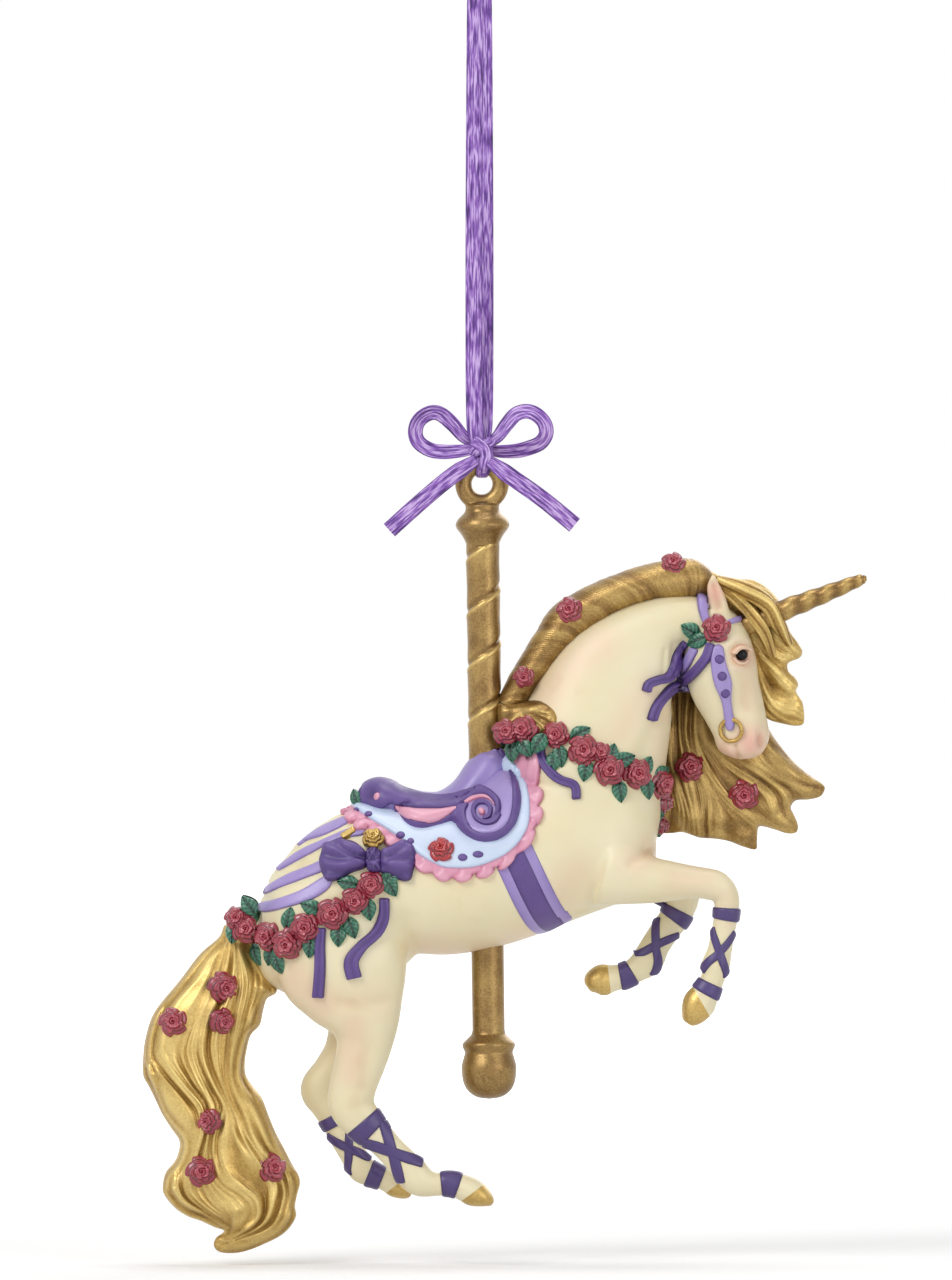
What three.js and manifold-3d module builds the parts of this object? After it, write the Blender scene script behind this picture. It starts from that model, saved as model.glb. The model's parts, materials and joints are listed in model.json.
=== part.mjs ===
// Carousel unicorn ornament on a tied ribbon. Millimetres, +Z up.
// X runs the way the animal faces, Y runs from the near side to the far side.
// The origin is the inside top of the ribbon's hanging loop.

import * as THREE from "three";
import { mergeVertices } from "three/addons/utils/BufferGeometryUtils.js";
import Module from "manifold-3d";

const wasm = await Module();
wasm.setup();

// Driving dimensions
const GAP = 0.3;                 // glue line or running clearance between two pieces
const RIBBON_WIDTH = 2.7;
const RIBBON_THICKNESS = 0.35;
const HOOK_RADIUS = 5.4;         // inside radius of the hanging loop
const EYE_DROP = 83.2;           // hanging point down to the centre of the eye
const EYE_HOLE_RADIUS = 1.65;
const EYE_RADIUS = 4.3;          // outside radius of the ring
const COLLAR_RADIUS = 4.25;
const COLLAR_DROP = 6.6;         // eye centre down to the widest part of the collar
const POLE_RADIUS = 2.6;
const POLE_LEAN = 0.012;         // radians, top towards the tail
const TWIST_PITCH = 8;
const TWIST_DEPTH = 0.45;
const TWIST_END = -50;           // below this height the pole is plain
const FINIAL_TOP = -88;
const FINIAL_RADIUS = 4.4;
const FINIAL_LENGTH = 10.4;
const BLANKET_THICKNESS = 0.7;
const BORDER_WIDTH = 1.9;
const BORDER_THICKNESS = 1;
const SCALLOPS = 15;
const SADDLE_THICKNESS = 1.1;
const STRAP_THICKNESS = 0.6;
const LACE_WIDTH = 1.5;
const LACE_THICKNESS = 0.5;
const HORN_ROOT_RADIUS = 1.7;
const HORN_TURNS = 5;
const EYEBALL_RADIUS = 1.05;
const BIT_RADIUS = 1.7;
const BIT_WIRE = 0.5;
const KNOT_HEIGHT = 2.45;        // top of the wrap up to the top of the knot
const FAR_PLANE = 60;            // half depth of every side-view cutter
const WELD = 1e-4;               // points nearer than this are one point

// Worked out from the driving dimensions
const EYE_WIRE = (EYE_RADIUS - EYE_HOLE_RADIUS) / 2;
const EYE_MIDDLE = EYE_HOLE_RADIUS + EYE_WIRE;
const WRAP_INSIDE = EYE_WIRE + GAP;
const WRAP_RADIUS = WRAP_INSIDE + RIBBON_THICKNESS;
const WRAP_TOP = EYE_MIDDLE + WRAP_RADIUS;
const SADDLE_LIFT = GAP + BLANKET_THICKNESS + GAP;

const NEAR = -1;
const FAR = 1;

const finish = (color, roughness, metalness = 0) =>
  new THREE.MeshStandardMaterial({ color, roughness, metalness });
const CREAM = finish(0xeadfc4, 0.5);
const GOLD = finish(0xb08a45, 0.38, 0.5);
const LILAC = finish(0x9a84c0, 0.45);
const PURPLE = finish(0x5e4588, 0.45);
const PALE_BLUE = finish(0xc0d3ee, 0.45);
const PINK = finish(0xd98ba8, 0.45);
const CRIMSON = finish(0xa52d42, 0.4);
const BLACK = finish(0x141014, 0.15);
const RIBBON = finish(0x875aaf, 0.6);

const point = (x, y, z) => new THREE.Vector3(x, y, z);

// Closed geometry to a solid that can be joined and cut
function solid(geometry) {
  const bare = geometry.index ? geometry.toNonIndexed() : geometry.clone();
  bare.deleteAttribute("normal");
  bare.deleteAttribute("uv");
  const merged = mergeVertices(bare, WELD);
  const vertProperties = new Float32Array(merged.attributes.position.array);
  const triVerts = new Uint32Array(merged.index.array);
  return new wasm.Manifold(new wasm.Mesh({ numProp: 3, vertProperties, triVerts }));
}

function joined(solids) {
  return solids.reduce((sum, next) => sum.add(next));
}

function bufferGeometry(positions, index) {
  const geometry = new THREE.BufferGeometry();
  geometry.setAttribute("position", new THREE.Float32BufferAttribute(positions, 3));
  geometry.setIndex(index);
  return geometry;
}

// The largest body of a cut solid, without the crumbs that a cut can leave
function mainBody(made) {
  const mesh = made.getMesh();
  const parent = Array.from({ length: mesh.numVert }, (_, i) => i);
  const root = (i) => {
    while (parent[i] !== i) i = parent[i] = parent[parent[i]];
    return i;
  };
  for (let t = 0; t < mesh.triVerts.length; t += 3) {
    const first = root(mesh.triVerts[t]);
    parent[root(mesh.triVerts[t + 1])] = first;
    parent[root(mesh.triVerts[t + 2])] = first;
  }
  const corner = (i) => point().fromArray(mesh.vertProperties, i * mesh.numProp);
  const volumes = new Map();
  const bodies = new Map();
  for (let t = 0; t < mesh.triVerts.length; t += 3) {
    const [a, b, c] = mesh.triVerts.subarray(t, t + 3);
    const body = root(a);
    const share = corner(a).dot(corner(b).cross(corner(c)));
    volumes.set(body, (volumes.get(body) ?? 0) + share);
    if (!bodies.has(body)) bodies.set(body, []);
    bodies.get(body).push(a, b, c);
  }
  const largest = [...volumes].sort((a, b) => b[1] - a[1])[0][0];
  const positions = [];
  const places = new Map();
  const index = bodies.get(largest).map((i) => {
    if (!places.has(i)) {
      places.set(i, positions.length / 3);
      positions.push(...corner(i).toArray());
    }
    return places.get(i);
  });
  return bufferGeometry(positions, index);
}

// Oval sections along a smooth line. A station is [x, z, half height, half depth, y].
function loft(stations, { sides = 12, steps = 2, grow = 0, ridge = () => 1 } = {}) {
  const line = new THREE.CatmullRomCurve3(stations.map(([x, z, , , y = 0]) => point(x, y, z)));
  const size = new THREE.CatmullRomCurve3(stations.map(([, , high, deep]) => point(high, deep, 0)));
  const rings = (stations.length - 1) * steps;
  const positions = [];
  const index = [];
  for (let i = 0; i <= rings; i++) {
    const t = i / rings;
    const centre = line.getPoint(t);
    const along = line.getTangent(t);
    const up = point(-along.z, 0, along.x).normalize();
    const across = up.clone().cross(along);
    const { x: high, y: deep } = size.getPoint(t);
    for (let j = 0; j < sides; j++) {
      const angle = (2 * Math.PI * j) / sides;
      const swell = ridge(t, angle);
      const spot = centre.clone()
        .addScaledVector(up, (high * swell + grow) * Math.cos(angle))
        .addScaledVector(across, (deep * swell + grow) * Math.sin(angle));
      positions.push(...spot.toArray());
    }
  }
  const start = line.getPoint(0).addScaledVector(line.getTangent(0), -grow);
  const end = line.getPoint(1).addScaledVector(line.getTangent(1), grow);
  const startAt = positions.length / 3;
  positions.push(...start.toArray(), ...end.toArray());
  for (let j = 0; j < sides; j++) {
    const next = (j + 1) % sides;
    for (let i = 0; i < rings; i++) {
      const a = i * sides + j;
      const b = i * sides + next;
      index.push(a, a + sides, b + sides, a, b + sides, b);
    }
    index.push(startAt, j, next, startAt + 1, rings * sides + next, rings * sides + j);
  }
  return solid(bufferGeometry(positions, index));
}

// Flat ribbon along a line of points. turn gives the width direction at a share of its length,
// and gather the share of the width that is left there.
function ribbon(spots, width, thickness, turn, { steps = 24, closed = false, gather = () => 1 } = {}) {
  const line = new THREE.CatmullRomCurve3(spots, closed);
  const rings = closed ? steps : steps + 1;
  const positions = [];
  const index = [];
  for (let i = 0; i < rings; i++) {
    const t = i / steps;
    const along = line.getTangent(t);
    const face = along.clone().cross(turn(t)).normalize();
    const across = face.clone().cross(along).normalize();
    for (const [u, v] of [[-1, -1], [1, -1], [1, 1], [-1, 1]]) {
      const spot = line.getPoint(t)
        .addScaledVector(across, (u * gather(t) * width) / 2)
        .addScaledVector(face, (v * thickness) / 2);
      positions.push(...spot.toArray());
    }
  }
  for (let i = 0; i < steps; i++) {
    const ahead = ((i + 1) % rings) * 4;
    for (let j = 0; j < 4; j++) {
      const next = (j + 1) % 4;
      index.push(i * 4 + j, i * 4 + next, ahead + next, i * 4 + j, ahead + next, ahead + j);
    }
  }
  const last = steps * 4;
  if (!closed) index.push(0, 2, 1, 0, 3, 2, last, last + 1, last + 2, last, last + 2, last + 3);
  return solid(bufferGeometry(positions, index));
}

// Smooth closed outline in the side view through [x, z] points, moved outwards by grow
function outline(points, perSpan, grow = 0) {
  const curve = new THREE.CatmullRomCurve3(points.map(([x, z]) => point(x, z, 0)), true);
  const count = points.length * perSpan;
  const spots = Array.from({ length: count }, (_, i) => curve.getPoint(i / count));
  const flat = spots.map((p) => new THREE.Vector2(p.x, p.y));
  const way = THREE.ShapeUtils.isClockWise(flat) ? -1 : 1;
  return flat.map((p, i) => {
    const before = flat[(i + count - 1) % count];
    const after = flat[(i + 1) % count];
    const along = after.clone().sub(before).normalize();
    return p.clone().add(new THREE.Vector2(along.y, -along.x).multiplyScalar(way * grow));
  });
}

// Side-view outline pushed through in depth, from one y to another
function prism(flat, from = -FAR_PLANE, to = FAR_PLANE) {
  const geometry = new THREE.ExtrudeGeometry(new THREE.Shape(flat), {
    depth: to - from, bevelEnabled: false, steps: 1,
  });
  geometry.rotateX(Math.PI / 2);
  geometry.translate(0, to, 0);
  return solid(geometry);
}

// Strip of even width along [x, z] points, as a side-view outline
function strip(points, width, spans = 8) {
  const curve = new THREE.CatmullRomCurve3(points.map(([x, z]) => point(x, z, 0)));
  const edge = (side) => Array.from({ length: spans + 1 }, (_, i) => {
    const along = curve.getTangent(i / spans);
    const spot = curve.getPoint(i / spans);
    return new THREE.Vector2(spot.x - side * along.y * width / 2, spot.y + side * along.x * width / 2);
  });
  return [...edge(1), ...edge(-1).reverse()];
}

const halfDepth = (side) => (side === NEAR ? [-FAR_PLANE, 0] : [0, FAR_PLANE]);

// Animal, as stations measured from the centre of the eye
const TORSO = [
  [-36.2, -74.2, 3.4, 3], [-33.6, -73.9, 7.6, 7.5], [-29, -72.3, 10.6, 10.5], [-21, -67.8, 12.5, 11.5],
  [-13, -64.6, 11.3, 11.8], [-5.4, -63.9, 11.4, 12.2], [2.4, -62.2, 11.5, 12], [11, -57.8, 12.6, 11.2],
  [19, -54, 13.3, 10], [24, -53, 11.4, 8.3], [27.2, -52.5, 7.2, 5.5], [28.6, -52.5, 2.4, 2],
];
const NECK = [
  [16.5, -49, 12, 9.5], [20.2, -39.4, 9.9, 7.8], [22.1, -31.4, 9.3, 6.4], [25.3, -25.8, 8, 5.6],
  [28.8, -22.6, 5.2, 5], [33.2, -21.4, 3.8, 4.6], [35.7, -21.4, 3.2, 4],
];
const HEAD = [
  [35.8, -20.5, 2.9, 3.5], [37.3, -23.7, 4.8, 4.8], [38, -28.2, 5.8, 5.4], [38.8, -32.2, 5.6, 4.9],
  [40.2, -35.8, 5, 4], [41.3, -39, 4.5, 3.6], [41.8, -41.3, 4.3, 3.7], [42.1, -42.9, 3.2, 3],
  [42.2, -44, 1.4, 1.4],
];
const EAR = [[38.4, -21.5, 1.5, 1.3, 2.6], [38, -18.6, 1.5, 1.2, 3], [37.4, -16.4, 1.2, 1, 3.3],
  [37, -14.5, 0.3, 0.3, 3.4]];
const LEGS = {
  fore_near: [
    [19.7, -61.4, 6.4, 5.5, -6], [25.3, -63, 4.2, 4.5, -6.4], [30, -63.4, 3.3, 3.6, -6.5],
    [34, -63.6, 2.6, 2.9, -6.5], [37.3, -64.2, 2.5, 2.7, -6.4], [38.9, -65.8, 2.1, 2.4, -6.3],
    [39, -68.5, 2, 2, -6.2], [38.5, -71.4, 1.9, 1.8, -6.1], [37.9, -74.6, 2, 1.8, -6],
    [37.3, -76.8, 2.3, 2.1, -5.9], [36.8, -79, 1.9, 1.7, -5.8], [35.8, -81, 2.2, 2, -5.7],
    [34.7, -82.9, 2.7, 2.5, -5.6], [33.6, -84.8, 2.1, 2.4, -5.5], [32.7, -86.1, 1, 1.4, -5.5],
  ],
  fore_far: [
    [20.5, -61.4, 4.8, 4.6, 5.2], [26.9, -63, 3.5, 3.8, 5.5], [30.9, -64.2, 2.7, 3.2, 5.5],
    [32.3, -66.1, 2.6, 2.8, 5.5], [31.2, -69, 2.5, 2.3, 5.5], [29.4, -71.5, 2.4, 2, 5.5],
    [27.8, -74, 2.4, 1.9, 5.5], [26.5, -76.4, 2.6, 2.1, 5.5], [24.6, -77.9, 2.1, 1.8, 5.5],
    [22.7, -78.9, 2, 1.8, 5.5], [21, -79.2, 2.2, 2.1, 5.5], [19.4, -79.5, 2.6, 2.4, 5.5],
    [17.9, -80, 2.1, 2.3, 5.5], [16.9, -80.7, 1, 1.4, 5.5],
  ],
  hind_near: [
    [-23.5, -71.4, 9.9, 5.5, -5.5], [-21.9, -77, 9.9, 5.5, -6], [-20.5, -81.8, 8.3, 5, -6],
    [-18.9, -85.8, 6.1, 4.2, -6], [-18.7, -89, 4.6, 3.4, -6], [-19.5, -92.5, 4.1, 3, -6],
    [-20.6, -96.2, 3.8, 2.8, -6], [-20.8, -99.2, 3.7, 2.7, -6], [-18.9, -101.9, 3.2, 2.3, -6],
    [-16.5, -104.3, 2.6, 1.9, -6], [-14.2, -106.7, 2.4, 1.8, -6], [-11.8, -109.3, 2.7, 2, -6],
    [-9.8, -111.2, 2.6, 2.2, -6], [-7.4, -111.8, 1.9, 1.8, -6], [-5.1, -111.7, 1.9, 1.8, -6],
    [-3, -112.3, 2.1, 2.2, -6], [-1.2, -113.2, 2.2, 2.6, -6], [0.6, -114.1, 1.4, 2.3, -6],
    [1.8, -114.8, 0.5, 1.2, -6],
  ],
  hind_far: [
    [-24.3, -73, 8.8, 5.2, 5.5], [-23, -80.2, 7.7, 5, 6], [-23, -85.8, 5.4, 4.2, 6],
    [-23, -90.4, 3.4, 3.2, 6], [-24.6, -93.8, 2.8, 2.8, 6], [-25.8, -97, 2.8, 2.7, 6],
    [-25, -99.8, 2.5, 2.4, 6], [-23.7, -102.4, 2.1, 2, 6], [-22.1, -105.3, 2.1, 1.8, 6],
    [-20.5, -107.8, 2.2, 1.9, 6], [-19.2, -109.9, 2.3, 2.1, 6], [-17.1, -110.9, 1.9, 1.8, 6],
    [-15.2, -111.7, 1.8, 1.8, 6], [-13.8, -112.7, 1.8, 2.3, 6], [-12.3, -113.6, 1.2, 2.2, 6],
    [-11.4, -114.1, 0.5, 1.2, 6],
  ],
};

// A hoof starts at its coronet: a point on it and the way towards the toe
const CORONETS = {
  fore_near: { at: [34.6, -82], way: [-0.86, -0.5] },
  fore_far: { at: [20.4, -79.3], way: [-1, -0.12] },
  hind_near: { at: [-1.7, -113.2], way: [0.6, -0.8] },
  hind_far: { at: [-14.2, -112.7], way: [0.62, -0.78] },
};

// Leg lacing: where its two bands lie, counted in stations along the leg
const LACES = { fore_near: [6.2, 10.6], fore_far: [4.1, 8.6], hind_near: [8.3, 13.9], hind_far: [6.5, 11.2] };

const MEMBERS = {
  torso: (grow) => loft(TORSO, { sides: 16, steps: 1, grow }),
  neck: (grow) => loft(NECK, { sides: 12, steps: 1, grow }),
  head: (grow) => joined([
    loft(HEAD, { sides: 10, steps: 1, grow }),
    ...[NEAR, FAR].map((side) => loft(EAR.map(([x, z, a, b, y]) => [x, z, a, b, side * y]),
      { sides: 6, steps: 1, grow })),
  ]),
};
for (const [name, stations] of Object.entries(LEGS)) {
  MEMBERS[name] = (grow) => loft(stations, { sides: 8, steps: 1, grow });
}

const stock = new Map();

// Each member is made once for each growth and kept
function member(name, grow = 0) {
  const key = `${name} ${grow}`;
  if (!stock.has(key)) stock.set(key, MEMBERS[name](grow));
  return stock.get(key);
}

// The whole animal's surface, moved outwards by grow
function skin(grow) {
  const key = `skin ${grow}`;
  if (!stock.has(key)) stock.set(key, joined(Object.keys(MEMBERS).map((name) => member(name, grow))));
  return stock.get(key);
}

// Shell that lies on the animal inside a side-view outline
function drape(flat, lift, thickness, depth = [-FAR_PLANE, FAR_PLANE]) {
  return prism(flat, ...depth).intersect(skin(lift + thickness)).subtract(skin(lift));
}

const caster = new THREE.Raycaster();

// Where a sight line in depth at x, z first meets a surface, from the near or the far side
function surface(target, x, z, side) {
  caster.set(point(x, side * FAR_PLANE, z), point(0, -side, 0));
  const [hit] = caster.intersectObject(target);
  return hit && { at: hit.point, out: hit.face.normal.clone() };
}

function sightMesh(made) {
  const mesh = made.getMesh();
  const geometry = bufferGeometry(Array.from(mesh.vertProperties), Array.from(mesh.triVerts));
  return new THREE.Mesh(geometry, new THREE.MeshStandardMaterial({ side: THREE.DoubleSide }));
}

// Moves a shape made round +Z on to a surface point, facing outwards
function planted(geometry, at, out, spin = 0) {
  const turn = new THREE.Quaternion().setFromUnitVectors(point(0, 0, 1), out);
  const own = new THREE.Quaternion().setFromAxisAngle(point(0, 0, 1), spin);
  geometry.applyQuaternion(own).applyQuaternion(turn).translate(...at.toArray());
  return solid(geometry);
}

// Rose: two rings of petals on a flat foot
const ROSE_SIDES = 6;
const ROSE_TIERS = [[0.5, 0.9], [1, 0.35], [0.8, 0]];   // reach and level, as shares
const ROSE_HEIGHT = 0.75;
const ROSE_HEART = 0.78;
const PETAL_WAVE = 0.1;
function rose(radius, grow = 0) {
  const positions = [];
  const index = [];
  const high = radius * ROSE_HEIGHT;
  for (const [reach, level] of ROSE_TIERS) {
    for (let j = 0; j < ROSE_SIDES; j++) {
      const angle = (2 * Math.PI * j) / ROSE_SIDES;
      const petal = 1 + PETAL_WAVE * (j % 2 ? -1 : 1);
      const r = radius * reach * petal + grow;
      const rise = level > 0 ? grow : -grow;
      positions.push(r * Math.cos(angle), r * Math.sin(angle), high * level + rise);
    }
  }
  const crown = positions.length / 3;
  positions.push(0, 0, high * ROSE_HEART + grow, 0, 0, -grow);
  for (let j = 0; j < ROSE_SIDES; j++) {
    const next = (j + 1) % ROSE_SIDES;
    index.push(crown, j, next);
    for (let tier = 0; tier < ROSE_TIERS.length - 1; tier++) {
      const a = tier * ROSE_SIDES + j;
      const b = tier * ROSE_SIDES + next;
      index.push(a, a + ROSE_SIDES, b + ROSE_SIDES, a, b + ROSE_SIDES, b);
    }
    const foot = (ROSE_TIERS.length - 1) * ROSE_SIDES;
    index.push(crown + 1, foot + next, foot + j);
  }
  return bufferGeometry(positions, index);
}

const root = new THREE.Group();
const figure = new THREE.Group();
figure.position.set(0, 0, -EYE_DROP);
root.add(figure);
const hung = new THREE.Group();
hung.position.set(0, 0, WRAP_TOP - EYE_DROP);
root.add(hung);

function add(name, made, material, parent = figure) {
  const mesh = new THREE.Mesh(mainBody(made), material);
  mesh.name = name;
  parent.add(mesh);
}

// Pole, made upright round the eye and then leaned
function leaned(made) {
  const mesh = made.getMesh();
  const geometry = bufferGeometry(Array.from(mesh.vertProperties), Array.from(mesh.triVerts));
  geometry.rotateY(-POLE_LEAN);
  return solid(geometry);
}

function lathe(profile, segments) {
  const geometry = new THREE.LatheGeometry(profile.map(([r, z]) => new THREE.Vector2(r, z)), segments);
  geometry.rotateX(Math.PI / 2);
  return solid(geometry);
}

const SHAFT_TOP = -COLLAR_DROP - 3.2;
function poleEyeCap() {
  const ring = solid(new THREE.TorusGeometry(EYE_MIDDLE, EYE_WIRE, 7, 16).rotateX(Math.PI / 2));
  const collar = lathe([
    [0, -EYE_MIDDLE], [POLE_RADIUS, -EYE_MIDDLE - 0.4], [POLE_RADIUS + 0.2, -COLLAR_DROP + 2.4],
    [COLLAR_RADIUS, -COLLAR_DROP + 0.8], [COLLAR_RADIUS, -COLLAR_DROP - 0.6],
    [POLE_RADIUS + 0.7, SHAFT_TOP + 1], [POLE_RADIUS, SHAFT_TOP], [0, SHAFT_TOP],
  ].reverse(), 16);
  return ring.add(collar);
}

const SHAFT_SIDES = 9;
const TURN_STEPS = 7;
function poleShaft(grow = 0) {
  const top = SHAFT_TOP - GAP;
  const twistedSteps = Math.round(((top - TWIST_END) / TWIST_PITCH) * TURN_STEPS);
  const levels = Array.from({ length: twistedSteps + 1 },
    (_, i) => top + ((TWIST_END - top) * i) / twistedSteps);
  levels.push(FINIAL_TOP + GAP);
  const stations = levels.map((z) => [0, z, POLE_RADIUS, POLE_RADIUS]);
  const fade = (z) => THREE.MathUtils.smoothstep(z, TWIST_END, TWIST_END + TWIST_PITCH / 2);
  const ridge = (t, angle) => {
    const z = levels[Math.round(t * (levels.length - 1))];
    const wave = 0.5 + 0.5 * Math.cos(angle + (2 * Math.PI * z) / TWIST_PITCH);
    return 1 - (TWIST_DEPTH / POLE_RADIUS) * fade(z) * wave ** 3;
  };
  return loft(stations, { sides: SHAFT_SIDES, steps: 1, grow, ridge: grow ? () => 1 : ridge });
}

function poleFinial() {
  return lathe([
    [0, FINIAL_TOP], [POLE_RADIUS + 0.2, FINIAL_TOP], [FINIAL_RADIUS - 0.3, FINIAL_TOP - 1.4],
    [FINIAL_RADIUS - 0.2, FINIAL_TOP - 2.2], [FINIAL_RADIUS - 0.5, FINIAL_TOP - 3],
    [FINIAL_RADIUS - 0.1, FINIAL_TOP - 4.2], [FINIAL_RADIUS, FINIAL_TOP - 5.4],
    [FINIAL_RADIUS - 0.6, FINIAL_TOP - 7.6], [FINIAL_RADIUS / 2, FINIAL_TOP - FINIAL_LENGTH + 0.6],
    [0, FINIAL_TOP - FINIAL_LENGTH],
  ].reverse(), 16);
}

const poleBore = leaned(poleShaft(GAP));
add("pole_eye_cap", leaned(poleEyeCap()), GOLD);
add("pole_shaft", leaned(poleShaft()), GOLD);
add("pole_finial", leaned(poleFinial()), GOLD);

// Animal
add("horse_torso", member("torso").subtract(poleBore), CREAM);
add("horse_neck", member("neck").subtract(member("torso", GAP)).subtract(poleBore), CREAM);
add("horse_head", member("head").subtract(member("neck", GAP)), CREAM);

// Everything on the toe side of a coronet
const HOOF_REACH = 12;
function toeSide({ at: [x, z], way: [wx, wz] }, back) {
  const corner = (ahead, side) => new THREE.Vector2(
    x + wx * (ahead - back) - wz * side, z + wz * (ahead - back) + wx * side);
  return prism([corner(0, -HOOF_REACH), corner(HOOF_REACH, -HOOF_REACH),
    corner(HOOF_REACH, HOOF_REACH), corner(0, HOOF_REACH)]);
}

for (const [name, coronet] of Object.entries(CORONETS)) {
  const shaft = member(name).subtract(toeSide(coronet, GAP)).subtract(member("torso", GAP));
  add(`leg_${name}`, shaft.subtract(poleBore), CREAM);
  add(`hoof_${name}`, member(name).intersect(toeSide(coronet, 0)), GOLD);
}

const bodyMesh = sightMesh(skin(0));
const EYE_PLACE = [41.3, -27.4];
const SIDES = [["near", NEAR], ["far", FAR]];
function eyeball(side, grow) {
  const { at } = surface(bodyMesh, ...EYE_PLACE, side);
  return solid(new THREE.SphereGeometry(EYEBALL_RADIUS + grow, 8, 6).translate(...at.toArray()));
}
for (const [name, side] of SIDES) {
  add(`eye_${name}`, eyeball(side, 0).subtract(member("head", GAP)), BLACK);
}

// Hair: each lock is a tapered loft
const CREST = [
  [5.4, -34.4, 1.6, 2.4], [8, -30.4, 3.6, 3.8], [11, -26, 4.2, 4.2], [14.2, -23.2, 4.2, 4.4],
  [18, -20.6, 4, 4.4], [22.2, -18.4, 3.5, 4.4], [26.2, -17, 3.4, 4.4], [30.5, -15.6, 3.6, 4],
  [34, -15.6, 3.3, 3.2], [36.2, -16.4, 1.6, 1.8],
];
const WITHERS_CURL = [[3.8, -37.4, 1, 2.2, -1], [7.6, -35.8, 2, 3.8, -1], [12.4, -37, 1.3, 3, -2]];
const FORELOCK = [
  [[36.6, -15.4, 1.6, 1.6, 0], [43, -16, 2, 1.9, 1.5], [47, -19, 2, 1.9, 3], [48.6, -23, 2.3, 1.8, 3.6],
    [50, -26, 1.9, 1.4, 4], [49.8, -28.4, 0.9, 0.7, 4]],
  [[38, -17, 1.6, 1.6, 0.6], [43.4, -19.6, 2.4, 1.9, 2.4], [46, -24.5, 2.4, 1.9, 3.6],
    [47.2, -29.5, 2.5, 1.8, 4.4], [49.2, -32.4, 1.9, 1.4, 4.6], [49.4, -34.8, 0.9, 0.7, 4.6]],
  [[38.6, -18.4, 1.4, 1.4, 1], [42.8, -22.5, 2.2, 1.9, 3.4], [44.6, -28, 2.2, 1.9, 4.8],
    [46.2, -33.5, 2.6, 1.8, 5.2], [49.2, -36.4, 2.1, 1.4, 5], [51, -38.3, 0.9, 0.7, 5]],
];
const MANE_FALL = [
  [[36, -29, 1.8, 1.6, 8.6], [40, -37, 2.6, 2.2, 8], [44.8, -42.4, 2.9, 2.6, 6.6], [49.2, -46.6, 2.7, 2.2, 5.8],
    [52.4, -48.7, 1.7, 1.5, 5.6], [54.4, -49.2, 0.8, 0.7, 5.6]],
  [[34, -29, 2, 1.8, 8.6], [38, -39, 3, 2.4, 8], [42.5, -46, 3.4, 2.8, 6.6], [46.3, -51, 3.3, 2.3, 6.2],
    [48.6, -53.8, 2.3, 1.5, 6], [49.9, -55.2, 1, 0.8, 6]],
  [[31.5, -29, 2, 1.8, 8.4], [34.6, -39, 3.1, 2.6, 7.8], [37.8, -47, 3.6, 2.8, 7], [40.8, -53, 3.6, 2.3, 6.6],
    [42.4, -56, 2.3, 1.5, 6.4], [43.2, -57.9, 1, 0.8, 6.4]],
  [[34.4, -42, 2.6, 2.4, 7.4], [36.2, -48, 3, 2.6, 7.2], [37.8, -53, 2.6, 2.1, 6.9], [38.8, -56.6, 1.2, 0.9, 6.7]],
  [[29, -29, 2, 2, 7], [31, -40, 3, 2.8, 7.6], [32.4, -47, 3.4, 2.8, 7.6], [33.8, -53, 3.3, 2.2, 7.2],
    [34.8, -56.2, 1.7, 1, 7]],
  [[24, -20, 2.4, 2, 4.6], [25.4, -28, 3.2, 2.2, 7.2], [27.4, -38, 3.4, 2.4, 8.6], [29, -47, 2.8, 2.4, 9],
    [30.4, -55.4, 0.6, 0.7, 8.6]],
  [[18.4, -21.5, 3, 1.8, 5], [19.4, -29, 3.9, 2, 7.8], [21, -38, 3.8, 2.2, 9.4], [23, -47, 0.6, 0.7, 10.4]],
  [[13, -25.5, 3, 1.8, 4.8], [14, -33, 3.7, 2, 7.8], [15, -41, 0.6, 0.7, 10.6]],
];
const TAIL = [
  [-37.4, -70.8, 1.8, 3], [-40.4, -75.4, 4.5, 4], [-42.7, -80.2, 7.2, 4.8], [-43.9, -85, 8.5, 5.2],
  [-45.6, -89.8, 8.2, 5.4], [-45.9, -94.6, 8.1, 5.4], [-43.7, -98.6, 8.4, 5.2], [-41.4, -103.4, 8.2, 5],
  [-40, -107.4, 9, 5], [-39.8, -111.4, 10.5, 5], [-39.6, -115.4, 9.6, 4.6], [-38.4, -118.4, 7, 3.8],
  [-38.2, -120.2, 3.2, 2.4],
];
const TAIL_CURL = [[-31, -112.5, 2.2, 2.6], [-31.4, -117.2, 2.6, 2.8], [-34.6, -120.2, 2.2, 2.5],
  [-38.6, -121.6, 1.3, 2], [-42.4, -122, 0.5, 0.8]];
const TAIL_STRANDS = 6;
const TAIL_GROOVE = 0.07;
const HORN = [[41.2, -22.9, 1, 1], [47.6, -20.4, 1, 1], [54.4, -17.8, 0.7, 0.7], [61, -15.2, 0.3, 0.3]]
  .map(([x, z, a, b]) => [x, z, a * HORN_ROOT_RADIUS, b * HORN_ROOT_RADIUS]);

const strand = (t, angle) => 1 + TAIL_GROOVE * Math.cos(TAIL_STRANDS * angle + 7 * t);
const twist = (t, angle) => 1 + 0.12 * Math.cos(angle - 2 * Math.PI * HORN_TURNS * t);
const lock = (stations, grow) => loft(stations, { sides: 6, steps: 1, grow });
const HAIR = {
  crest: (grow) => joined([loft(CREST, { sides: 10, steps: 1, grow }), lock(WITHERS_CURL, grow)]),
  fall: (grow) => joined(MANE_FALL.map((stations) => lock(stations, grow))),
  forelock: (grow) => joined(FORELOCK.map((stations) => lock(stations, grow))),
  tail: (grow) => loft(TAIL, { sides: 18, steps: 1, grow, ridge: strand }).add(lock(TAIL_CURL, grow)),
  horn: (grow) => loft(HORN, { sides: 8, steps: 6, grow, ridge: twist }),
};
const cutBy = (made, ...cutters) => cutters.reduce((rest, cutter) => rest.subtract(cutter), made);
const hair = Object.fromEntries(Object.entries(HAIR).map(([name, make]) => [name, make(GAP)]));
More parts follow.
